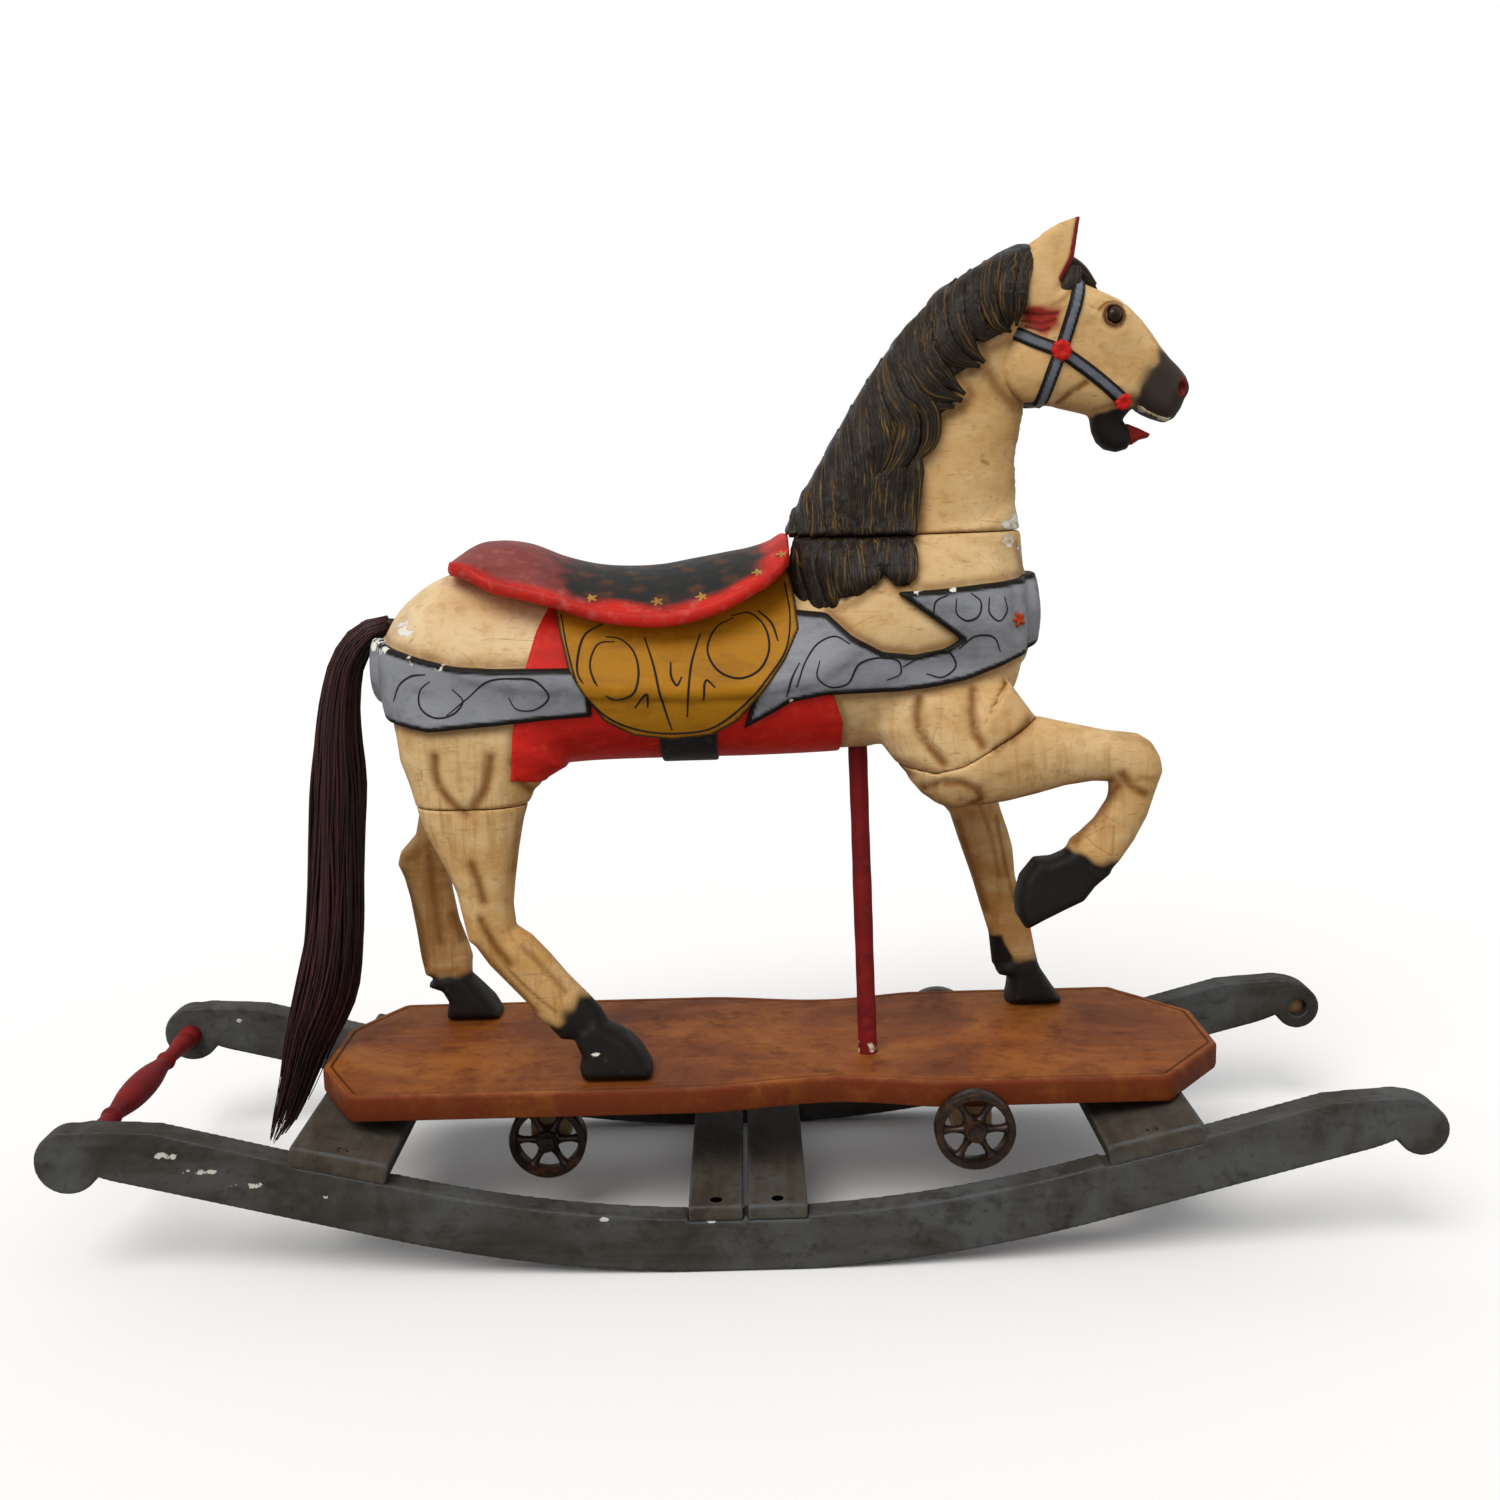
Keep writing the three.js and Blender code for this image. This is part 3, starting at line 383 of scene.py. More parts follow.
# ------------------------------------------------------------------ materials
class Paint:
    """Short-hand for a node material built on object coordinates."""

    def __init__(self, name):
        self.material = bpy.data.materials.new(name)
        self.material.use_nodes = True
        self.tree = self.material.node_tree
        self.shader = self.tree.nodes["Principled BSDF"]
        self.place = self.node("ShaderNodeTexCoord").outputs["Object"]

    def node(self, kind, inputs=None, **settings):
        made = self.tree.nodes.new(kind)
        for key, value in settings.items():
            setattr(made, key, value)
        for key, value in (inputs or {}).items():
            self.feed(made.inputs[key], value)
        return made

    def feed(self, socket, value):
        if isinstance(value, bpy.types.NodeSocket):
            self.tree.links.new(value, socket)
        elif isinstance(value, (tuple, list)) and len(value) == 3 and socket.type == "RGBA":
            socket.default_value = (*value, 1)
        else:
            socket.default_value = value

    def stretched(self, scale, turn=(0, 0, 0)):
        mapping = self.node("ShaderNodeMapping", {"Vector": self.place, "Scale": scale, "Rotation": turn})
        return mapping.outputs["Vector"]

    def noise(self, scale, detail=4.0, rough=0.55, vector=None, warp=0.0):
        made = self.node("ShaderNodeTexNoise", {
            "Scale": scale, "Detail": detail, "Roughness": rough, "Distortion": warp,
            "Vector": vector or self.place})
        return made.outputs["Fac"]

    def ramp(self, value, low, high, top=1.0):
        made = self.node("ShaderNodeMapRange", {
            "Value": value, "From Min": low, "From Max": high, "To Min": 0.0, "To Max": top})
        return made.outputs["Result"]

    def mix(self, amount, first, second, blend="MIX"):
        made = self.tree.nodes.new("ShaderNodeMix")
        made.data_type = "RGBA"
        made.blend_type = blend
        self.feed(made.inputs["Factor"], amount)
        colours = [socket for socket in made.inputs if socket.type == "RGBA"]
        self.feed(colours[0], first)
        self.feed(colours[1], second)
        return [socket for socket in made.outputs if socket.type == "RGBA"][0]

    def maths(self, operation, a, b=0.0):
        made = self.node("ShaderNodeMath", operation=operation)
        self.feed(made.inputs[0], a)
        self.feed(made.inputs[1], b)
        return made.outputs["Value"]

    def stored(self, name, output="Fac"):
        return self.node("ShaderNodeAttribute", attribute_name=name).outputs[output]

    def cracks(self, scale, vector=None, low=0.0, high=0.03):
        """1 along thin broken lines, 0 elsewhere."""
        made = self.node("ShaderNodeTexVoronoi", {
            "Scale": scale, "Vector": vector or self.place, "Randomness": 1.0}, feature="DISTANCE_TO_EDGE")
        return self.maths("SUBTRACT", 1.0, self.ramp(made.outputs["Distance"], low, high))

    def bump(self, height, strength, distance):
        made = self.node("ShaderNodeBump", {"Height": height, "Strength": strength, "Distance": distance})
        self.tree.links.new(made.outputs["Normal"], self.shader.inputs["Normal"])

    def finish(self, colour, rough=0.5, **sockets):
        self.feed(self.shader.inputs["Base Color"], colour)
        self.feed(self.shader.inputs["Roughness"], rough)
        for key, value in sockets.items():
            self.shader.inputs[key.replace("_", " ")].default_value = value
        return self.material


WHITE_GESSO = (0.80, 0.77, 0.70)
# Brown for the glazing in grooves and for painted shade along borders and in creases.
GLAZE_AND_SHADE_BROWN = (0.21, 0.078, 0.011)


def cream_paint():
    """Old cream paint over carved wood. Tint with painted shade and painted light, brown glazing with
    painted shade, cover colour and chips come from the mesh.
    """
    p = Paint("cream_paint")
    broad = p.noise(8.0, 4.0, 0.6)
    fine = p.noise(70.0, 6.0, 0.65)
    brushed = p.noise(26.0, 6.0, 0.7, p.stretched((0.30, 1.0, 1.0), (0, 0.25, 0)), 0.4)
    pores = p.noise(210.0, 3.0, 0.6, p.stretched((0.25, 1.0, 1.0)))
    tinted = p.stored("tint", "Color")
    height = p.node("ShaderNodeSeparateXYZ", {"Vector": p.place}).outputs["Z"]
    grain = p.noise(95.0, 5.0, 0.65, p.stretched((1.0, 1.0, 0.10)), 0.3)
    grain = p.maths("MULTIPLY", p.ramp(grain, 0.50, 0.68), p.ramp(height, 0.60, 0.46, 0.65))
    base = p.mix(p.ramp(broad, 0.42, 0.68, 0.50), tinted, (0.58, 0.31, 0.088))
    base = p.mix(p.ramp(brushed, 0.50, 0.72, 0.55), base, (0.82, 0.63, 0.35))
    base = p.mix(p.ramp(brushed, 0.48, 0.30, 0.48), base, (0.43, 0.215, 0.052))
    base = p.mix(p.ramp(fine, 0.52, 0.74, 0.45), base, (0.40, 0.195, 0.045))
    base = p.mix(grain, base, (0.38, 0.175, 0.036))
    base = p.mix(p.ramp(pores, 0.60, 0.72, 0.45), base, (0.27, 0.13, 0.042))
    # Brown glazing in hollows, creases and along borders, where it is also painted shade.
    glaze_and_shade = p.maths("MULTIPLY", p.stored("stain"), p.ramp(p.noise(48.0, 5.0, 0.7), 0.18, 0.46))
    base = p.mix(glaze_and_shade, base, GLAZE_AND_SHADE_BROWN)
    webs = p.cracks(17.0, p.stretched((0.45, 1.0, 2.4)), 0.0, 0.010)
    webs = p.maths("MULTIPLY", webs, p.ramp(p.noise(9.0, 3.0), 0.54, 0.66, 0.6))
    base = p.mix(webs, base, (0.20, 0.10, 0.035))
    spots = p.mix(p.ramp(fine, 0.62, 0.80, 0.5), tinted, (0.13, 0.065, 0.025))
    base = p.mix(p.stored("cover"), base, spots)
    scraped = p.noise(48.0, 6.0, 0.7, p.stretched((0.35, 1.0, 1.6), (0, 0.3, 0)))
    chips = p.ramp(p.maths("ADD", p.stored("chip"), scraped), 1.00, 1.07)
    base = p.mix(chips, base, WHITE_GESSO)
    relief = p.maths("SUBTRACT", p.maths("MULTIPLY", fine, 0.5), p.maths("MULTIPLY", webs, 0.6))
    relief = p.maths("ADD", relief, p.maths("MULTIPLY", brushed, 0.9))
    relief = p.maths("SUBTRACT", relief, p.maths("MULTIPLY", grain, 0.5))
    relief = p.maths("SUBTRACT", relief, p.maths("MULTIPLY", chips, 0.8))
    p.bump(relief, 0.55, 0.0014)
    return p.finish(base, p.maths("ADD", p.ramp(fine, 0.2, 0.9, 0.35), 0.38), Specular_IOR_Level=0.17)


def brushed_paint(name, colour, dark, light, rough=0.5, chip=None, chip_from=1.05, bump=0.3, scale=1.0,
                  metal=0.0):
    """Brushed, worn paint in one colour, or in the mesh's tint where colour is None."""
    p = Paint(name)
    base = p.stored("tint", "Color") if colour is None else colour
    streaks = p.noise(30.0 * scale, 6.0, 0.7, p.stretched((0.35, 1.0, 1.0)))
    spots = p.noise(75.0 * scale, 5.0, 0.6)
    if colour is None:
        bright = p.ramp(p.node("ShaderNodeRGBToBW", {"Color": base}).outputs["Val"], 0.01, 0.10)
    else:
        bright = 1.0
    base = p.mix(p.maths("MULTIPLY", p.ramp(streaks, 0.46, 0.68, 0.62), bright), base, dark)
    base = p.mix(p.maths("MULTIPLY", p.ramp(spots, 0.52, 0.72, 0.55), bright), base, light)
    height = p.maths("MULTIPLY", streaks, 0.7)
    if chip:
        worn = p.ramp(p.maths("ADD", p.stored("chip"), p.noise(85.0 * scale, 4.0, 0.6)), chip_from,
                      chip_from + 0.05)
        base = p.mix(worn, base, chip)
        height = p.maths("SUBTRACT", height, worn)
    p.bump(height, bump, 0.001)
    return p.finish(base, p.maths("ADD", p.ramp(spots, 0.2, 0.9, 0.3), rough - 0.06), Metallic=metal,
                    Specular_IOR_Level=0.15)


def plank_paint(name, colour, dark, light, along=(0.08, 1.0, 1.0), rough=0.5, chips=None, edge=None,
                grained=0.5):
    """Paint over sawn boards: the grain shows a little along the plank and the arrises wear."""
    p = Paint(name)
    grain = p.noise(38.0, 7.0, 0.65, p.stretched(along), 0.6)
    cloud = p.noise(6.0, 6.0, 0.65, None, 0.5)
    spots = p.noise(95.0, 4.0, 0.6)
    scuff = p.noise(24.0, 7.0, 0.75)
    base = p.mix(p.ramp(grain, 0.38, 0.62, grained), colour, dark)
    base = p.mix(p.ramp(cloud, 0.47, 0.62, 0.75), base, light)
    base = p.mix(p.ramp(cloud, 0.47, 0.34, 0.65), base, dark)
    base = p.mix(p.ramp(scuff, 0.52, 0.68, 0.70), base, dark)
    base = p.mix(p.ramp(spots, 0.56, 0.74, 0.50), base, dark)
    rubbed = p.ramp(p.maths("ADD", p.stored("chip"), scuff), 0.86, 1.14)
    if edge:
        base = p.mix(rubbed, base, edge)
    if chips:
        bare = p.ramp(p.maths("ADD", p.stored("bare"), p.noise(80.0, 4.0, 0.6)), 1.18, 1.22)
        base = p.mix(bare, base, chips)
    # Darker where the mesh marks stains and painted shade.
    base = p.mix(p.stored("stain"), base, dark)
    p.bump(p.maths("ADD", p.maths("MULTIPLY", grain, 0.8), p.maths("MULTIPLY", spots, 0.3)), 0.35, 0.0012)
    return p.finish(base, p.maths("ADD", p.ramp(scuff, 0.2, 0.9, 0.3), rough - 0.05),
                    Specular_IOR_Level=0.16)


def rusty_iron():
    """Rusty cast iron."""
    p = Paint("cast_iron")
    blotch = p.noise(55.0, 6.0, 0.7)
    grit = p.noise(260.0, 4.0, 0.6)
    base = p.mix(p.ramp(blotch, 0.48, 0.66), (0.020, 0.013, 0.010), (0.075, 0.027, 0.010))
    base = p.mix(p.ramp(grit, 0.58, 0.8, 0.45), base, (0.20, 0.08, 0.022))
    p.bump(p.maths("ADD", grit, blotch), 0.5, 0.0008)
    return p.finish(base, p.ramp(blotch, 0.1, 1.0, 0.85), Metallic=0.35)


def carved_hair():
    """Brown-black carved locks combed with fine gold-brown strands that follow the mesh's own comb."""
    p = Paint("dark_hair")
    comb = p.stored("comb", "Vector")
    fine = p.noise(1.0, 3.0, 0.6,
                   p.node("ShaderNodeMapping", {"Vector": comb, "Scale": (1.1, 0.045, 1.0)}).outputs[0])
    broad = p.noise(1.0, 3.0, 0.5,
                    p.node("ShaderNodeMapping", {"Vector": comb, "Scale": (0.28, 0.02, 1.0)}).outputs[0])
    worn = p.noise(45.0, 4.0, 0.6)
    tinted = p.stored("tint", "Color")
    base = p.mix(p.ramp(fine, 0.52, 0.40, 0.75), tinted, (0.006, 0.005, 0.004))
    gold = p.maths("MULTIPLY", p.ramp(fine, 0.50, 0.62), p.ramp(broad, 0.47, 0.62))
    gold = p.maths("MULTIPLY", gold, p.ramp(worn, 0.38, 0.60, 0.9))
    base = p.mix(gold, base, (0.25, 0.135, 0.032))
    p.bump(fine, 0.75, 0.0016)
    return p.finish(base, p.ramp(worn, 0.2, 0.9, 0.75), Specular_IOR_Level=0.2)


def strand_hair():
    """Dark red-brown horse hair."""
    p = Paint("horse_hair")
    flow = p.noise(300.0, 4.0, 0.6, p.stretched((1.0, 1.0, 0.05)))
    base = p.mix(p.ramp(flow, 0.3, 0.75), (0.012, 0.006, 0.006), (0.085, 0.022, 0.026))
    base = p.mix(p.stored("shade"), base, (0.010, 0.005, 0.005))
    return p.finish(base, 0.46, Specular_IOR_Level=0.28)


def eye_glass():
    p = Paint("eye_glass")
    spread = p.noise(120.0, 3.0)
    base = p.mix(p.ramp(spread, 0.3, 0.7), (0.012, 0.005, 0.003), (0.05, 0.018, 0.008))
    return p.finish(base, 0.12, Specular_IOR_Level=0.22)


def raw_wood():
    p = Paint("bare_wood")
    grain = p.noise(60.0, 6.0, 0.6, p.stretched((1.0, 0.1, 1.0)))
    base = p.mix(p.ramp(grain, 0.35, 0.7), (0.42, 0.27, 0.13), (0.22, 0.12, 0.05))
    p.bump(grain, 0.3, 0.001)
    return p.finish(base, 0.7)


CREAM = (0.74, 0.52, 0.265)
BLACK_PAINT = (0.010, 0.008, 0.007)
MATERIALS = {
    "cream_paint": cream_paint(),
    "dark_hair": carved_hair(),
    "saddle_paint": brushed_paint("saddle_paint", None, (0.15, 0.012, 0.010), (0.50, 0.13, 0.10), 0.40,
                                  chip=(0.55, 0.46, 0.30), chip_from=1.22),
    "mustard_paint": brushed_paint("mustard_paint", None, (0.20, 0.075, 0.004),
                                   (0.46, 0.22, 0.015), 0.45, chip=(0.2, 0.1, 0.03), chip_from=1.1),
    "red_paint": brushed_paint("red_paint", (0.62, 0.016, 0.010), (0.30, 0.009, 0.007),
                               (0.66, 0.06, 0.03), 0.45,
                               chip=(0.10, 0.012, 0.01), chip_from=1.1),
    "blue_grey_paint": brushed_paint("blue_grey_paint", None, (0.085, 0.088, 0.098),
                                     (0.30, 0.31, 0.33), 0.45,
                                     chip=WHITE_GESSO, chip_from=1.10),
    "black_paint": brushed_paint("black_paint", (0.018, 0.020, 0.023), (0.008, 0.008, 0.009),
                                 (0.06, 0.06, 0.065), 0.45),
    "black_line": brushed_paint("black_line", (0.014, 0.012, 0.012), (0.006, 0.005, 0.005),
                                (0.045, 0.04, 0.038), 0.5),
    "medallion_paint": brushed_paint("medallion_paint", (0.42, 0.05, 0.012), (0.22, 0.02, 0.01),
                                     (0.50, 0.25, 0.03), 0.45, scale=1.6),
    "yellow_paint": brushed_paint("yellow_paint", (0.42, 0.22, 0.05), (0.2, 0.09, 0.02),
                                  (0.55, 0.4, 0.16), 0.5),
    "ivory_paint": brushed_paint("ivory_paint", (0.74, 0.64, 0.46), (0.5, 0.36, 0.2),
                                 (0.85, 0.8, 0.66), 0.35),
    "dark_red_paint": brushed_paint("dark_red_paint", (0.22, 0.012, 0.010), (0.08, 0.006, 0.006),
                                    (0.34, 0.04, 0.02), 0.45),
    "horse_hair": strand_hair(),
    "eye_glass": eye_glass(),
    "sienna_paint": plank_paint("sienna_paint", (0.27, 0.073, 0.011), (0.095, 0.024, 0.006),
                                (0.36, 0.125, 0.020),
                                rough=0.5, edge=(0.155, 0.026, 0.005), grained=0.45),
    "rocker_paint": plank_paint("rocker_paint", (0.066, 0.062, 0.055), (0.024, 0.018, 0.013),
                                (0.094, 0.098, 0.100), rough=0.6, chips=(0.62, 0.60, 0.54),
                                edge=(0.085, 0.098, 0.108), grained=0.6),
    "slat_paint": plank_paint("slat_paint", (0.082, 0.068, 0.050), (0.032, 0.023, 0.016),
                              (0.090, 0.086, 0.078), along=(1.0, 0.08, 1.0), rough=0.6,
                              chips=(0.62, 0.60, 0.54), edge=(0.085, 0.092, 0.096), grained=0.6),
    "pole_paint": brushed_paint("pole_paint", (0.20, 0.009, 0.010), (0.06, 0.006, 0.008),
                                (0.27, 0.022, 0.018), 0.5,
                                chip=(0.7, 0.6, 0.45), chip_from=1.3),
    "bare_wood": raw_wood(),
    "cast_iron": rusty_iron(),
}


def paint(piece, name):
    piece.data.materials.clear()
    piece.data.materials.append(MATERIALS[name])
    return piece


# ------------------------------------------------------------------ the carved horse
# [x, underside, top, half width] along the barrel
BARREL = [
    [-364, 566, 634, 42], [-350, 528, 656, 74], [-322, 505, 682, 96], [-280, 494, 700, 109],
    [-220, 494, 703, 114], [-150, 499, 689, 113], [-60, 500, 686, 110], [30, 500, 698, 109],
    [110, 502, 718, 107], [190, 507, 735, 101], [245, 521, 728, 92], [285, 545, 708, 79],
    [300, 566, 686, 62], [306, 586, 664, 44],
]
# Limbs: [x, z, y, half depth, half width]
NECK = [
    [188, 640, 0, 126, 92], [186, 695, 0, 123, 78], [186, 733, 0, 113, 66], [206, 797, 0, 92, 57],
    [231, 855, 0, 76, 52], [252, 904, 0, 58, 48], [274, 937, 0, 50, 45], [301, 962, 0, 43, 40],
    [316, 974, 0, 30, 30],
]
HEAD = [
    [300, 930, 0, 32, 41], [335, 925, 0, 32, 46], [368, 912, 0, 32, 44], [396, 897, 0, 30, 39],
    [423, 887, 0, 26, 33], [443, 873, 0, 23, 30], [461, 860, 0, 18, 28], [474, 852, 0, 16, 24],
]
HIND_RIGHT = [
    [-258, 600, -58, 78, 52], [-268, 530, -72, 68, 45], [-270, 465, -83, 57, 37],
    [-267, 423, -89, 44, 31], [-260, 386, -92, 33, 27], [-257, 350, -94, 27, 23],
    [-249, 320, -95, 27, 21], [-226, 300, -96, 24, 19], [-200, 275, -97, 21, 18],
    [-172, 248, -98, 20, 18], [-157, 226, -98, 22, 20], [-147, 208, -98, 22, 22],
]
HIND_LEFT = [
    [-252, 600, 58, 78, 52], [-278, 530, 72, 68, 45], [-300, 465, 84, 53, 37], [-318, 430, 90, 43, 31],
    [-338, 395, 95, 33, 27], [-361, 360, 98, 27, 23], [-357, 325, 100, 25, 20], [-350, 285, 101, 23, 19],
    [-344, 250, 102, 24, 19], [-340, 224, 102, 24, 21], [-333, 208, 102, 22, 22],
]
FORE_LEFT = [
    [212, 560, 60, 60, 46], [224, 500, 76, 52, 38], [245, 455, 88, 41, 32], [273, 408, 96, 30, 26],
    [285, 373, 99, 29, 24], [296, 329, 101, 26, 21], [306, 288, 103, 23, 19], [316, 250, 104, 23, 19],
    [323, 222, 105, 25, 21], [329, 208, 105, 23, 22],
]
FORE_RIGHT = [
    [204, 585, -56, 56, 46], [214, 530, -72, 52, 42], [236, 498, -82, 44, 36], [270, 499, -86, 42, 33],
    [304, 503, -88, 38, 30], [340, 503, -89, 32, 27], [382, 500, -89, 26, 24], [408, 492, -89, 24, 23],
    [414, 478, -89, 24, 22], [408, 458, -89, 23, 20], [398, 438, -88, 22, 19], [385, 413, -87, 21, 18],
    [372, 396, -86, 22, 20], [352, 380, -85, 24, 22],
]
# Side outlines (x, z)
HIND_RIGHT_SIDE = [
    (-190, 600), (-178, 560), (-174, 525), (-174, 503), (-192, 493), (-203, 477), (-212, 465),
    (-217, 449), (-223, 418), (-228, 386), (-231, 361), (-229, 338), (-214, 328), (-196, 308),
    (-178, 285), (-157, 262), (-145, 248), (-137, 231), (-120, 222), (-172, 214), (-188, 215),
    (-194, 223), (-200, 230), (-212, 242), (-223, 257), (-241, 277), (-259, 297), (-272, 317),
    (-279, 323), (-284, 349), (-289, 375), (-297, 395), (-311, 423), (-319, 439), (-327, 465),
    (-334, 490), (-342, 512), (-346, 545), (-330, 600),
]
HIND_LEFT_SIDE = [
    (-205, 600), (-212, 530), (-240, 470), (-272, 432), (-305, 397), (-330, 365), (-331, 330),
    (-325, 290), (-316, 262), (-312, 246), (-313, 239), (-314, 222), (-352, 218), (-368, 225),
    (-372, 247), (-375, 280), (-380, 320), (-385, 345), (-391, 360), (-387, 374), (-368, 395),
    (-362, 420), (-356, 450), (-350, 490), (-344, 540), (-330, 600),
]
FORE_LEFT_SIDE = [
    (275, 600), (284, 530), (284, 490), (292, 450), (303, 408), (312, 382), (318, 360), (321, 327),
    (330, 290), (339, 268), (347, 227), (345, 214), (302, 212), (295, 221), (291, 258), (282, 288),
    (270, 329), (255, 373), (245, 404), (215, 440), (185, 476), (165, 520), (155, 600),
]
FORE_RIGHT_SIDE = [
    (170, 610), (240, 605), (282, 580), (300, 555), (309, 543), (338, 536), (382, 526), (414, 522),
    (428, 513), (437, 498), (440, 483), (433, 463), (425, 436), (412, 410), (398, 389), (385, 374),
    (355, 378), (340, 396), (347, 412), (357, 420), (371, 435), (383, 455), (385, 467), (385, 473),
    (368, 474), (339, 470), (310, 462), (281, 455), (249, 450), (222, 448), (208, 454), (193, 465),
    (176, 485), (165, 497), (146, 530), (150, 580),
]
HOOF_SIDES = {
    "hind_right": [(-172, 213), (-166, 199), (-169, 186), (-166, 174.5), (-93, 174.5), (-93, 184),
                   (-103, 204), (-115, 218), (-137, 231), (-150, 240), (-170, 228)],
    "hind_left": [(-365, 213), (-348, 207), (-341, 195), (-344, 181), (-343, 174.5), (-280, 174.5),
                  (-282, 180), (-289, 194), (-302, 209), (-314, 222), (-330, 232), (-352, 228)],
    "fore_left": [(300, 209), (314, 206), (313, 190), (310, 174.5), (376, 174.5), (373, 181), (367, 189),
                  (352, 212), (345, 228), (318, 232), (300, 222)],
    "raised": [(300, 319), (291, 334), (290, 353), (295, 374), (310, 393), (328, 394), (347, 402),
               (370, 392), (389, 377), (372, 363), (360, 348), (340, 339), (319, 329)],
}
HEAD_SIDE = [
    (300, 972), (318, 983), (340, 984), (364, 979), (385, 970), (407, 960), (420, 950), (432, 938),
    (443, 924), (452, 911), (462, 899), (471, 890), (479, 880), (481, 870), (478, 858), (474, 848),
    (467, 838), (458, 834), (445, 838), (434, 843), (426, 849), (385, 842), (370, 846), (350, 851),
    (337, 854), (320, 858), (308, 859), (299, 858), (285, 865), (276, 878), (273, 892), (276, 905),
    (285, 925), (289, 950), (293, 965),
]
JAW_SIDE = [
    (380, 862), (420, 856), (420, 846), (414, 838), (420, 830), (424, 817), (419, 808), (408, 805),
    (396, 808), (388, 815), (383, 826), (381, 838),
]
EAR_SIDE = [
    (362, 1039), (356, 998), (352, 991), (344, 976), (336, 955), (322, 940), (306, 944), (303, 960),
    (305, 978), (313, 1010), (324, 1023), (340, 1032),
]
MUSCLES_HIND = [
    [[(-299, 520), (-300, 505), (-297, 490), (-284, 472), (-270, 462)], 4.0, 5.0],
    [[(-243, 518), (-246, 500), (-250, 486), (-262, 468)], 4.0, 5.0],
    [[(-205, 478), (-216, 492), (-222, 512)], 2.5, 5.0],
    [[(-262, 350), (-256, 335), (-247, 318), (-236, 302)], 2.4, 4.0],
    [[(-268, 410), (-262, 392), (-258, 370)], 1.5, 6.0],
]
MUSCLES_FORE = [
    [[(190, 566), (187, 550), (189, 532), (198, 518), (213, 500)], 4.0, 5.0],
    [[(245, 572), (242, 552), (244, 532), (252, 518)], 3.6, 5.0],
    [[(196, 472), (208, 479), (231, 480), (246, 472), (252, 462), (243, 454)], 2.6, 4.0],
    [[(152, 505), (166, 497), (178, 486)], 2.0, 5.0], [[(300, 541), (289, 530), (266, 514)], 2.0, 5.0],
    [[(394, 484), (404, 470), (418, 462)], 1.4, 4.0], [[(366, 432), (380, 450), (392, 470)], 1.2, 4.0],
]
NECK_SEAM = 728.0
HIND_SEAM = 465.0
FORE_SEAM = [(168, 496), (206, 489), (234, 496), (266, 515), (301, 536), (330, 552)]


def follow(x, z, stations, samples=70):
    """Values of the nearest station along a limb, for each point in side view."""
    path = spline([row[:5] for row in stations], samples)
    nearest = np.argmin((x[..., None] - path[:, 0]) ** 2 + (z[..., None] - path[:, 1]) ** 2, axis=-1)
    return path[nearest]


def swollen(grid, outline, stations, power=2.1, depth_scale=1.0):
    """Limb with an exact side outline; its width and rounding come from the stations."""
    x, z = grid.side()
    edge = outline_distance(x, z, outline)
    at = follow(x, z, stations)
    depth = at[..., 3] * depth_scale
    rim = np.maximum(1 + edge / depth, 0) * depth
    flat = lambda a: a[:, None, :]
    return rounded([(flat(rim), flat(depth)), (grid.y - flat(at[..., 2]), flat(at[..., 4]))], power)


def barrel(grid):
    rows = spline(BARREL, 260, keys=1)
    low, high, half = (np.interp(grid.x, rows[:, 0], rows[:, k]) for k in (1, 2, 3))
    beyond = np.maximum(np.maximum(BARREL[0][0] - grid.x, grid.x - BARREL[-1][0]), 0)
    return rounded([(beyond, 9.0), (grid.y, half), (grid.z - (low + high) / 2, (high - low) / 2)], 2.33)


def hoof(grid, place, y):
    low, top, half = (320, 392, 27) if place == "raised" else (174.5, 232, 30)
    width = lambda x, z: half - 7 * smooth_step(z, low, top)
    return puffed(grid, HOOF_SIDES[place], width, 12.0, y, 2.6)


def body_field(grid):
    """The whole carving below the head, in millimetres from its surface."""
    field = soft_min(barrel(grid), limb(grid, NECK), 26)
    low, high = float(grid.z.min()), float(grid.z.max())
    start, end = float(grid.x.min()), float(grid.x.max())
    if low < 640:
        if start < -100:
            hind = soft_min(swollen(grid, HIND_RIGHT_SIDE, HIND_RIGHT),
                            swollen(grid, HIND_LEFT_SIDE, HIND_LEFT), 2)
            field = soft_min(field, hind, 16)
        if end > 120:
            fore = soft_min(swollen(grid, FORE_RIGHT_SIDE, FORE_RIGHT),
                            swollen(grid, FORE_LEFT_SIDE, FORE_LEFT), 2)
            field = soft_min(field, fore, 14)
    if high > 640:
        x, z = grid.side()
        under_mane = MANE_CREST[3:16] + [(44, 696), (-40, 696), (-500, 760), (-500, 100), (500, 100),
                                         (500, 1010)]
        field = soft_max(field, outline_distance(x, z, under_mane)[:, None, :] + 14 + 0.008 * grid.y**2, 10)
    if start < -100:
        field = groove(grid, field, MUSCLES_HIND[:3])
        field = groove(grid, field, MUSCLES_HIND[3:], mirrored=False)
    if end > 120:
        field = groove(grid, field, MUSCLES_FORE[:2])
        field = groove(grid, field, MUSCLES_FORE[2:], mirrored=False)
    return even(field, grid)


def cell(grid, outline, extra=0.0):
    x, z = grid.side()
    return (outline_distance(x, z, outline) - extra)[:, None, :]


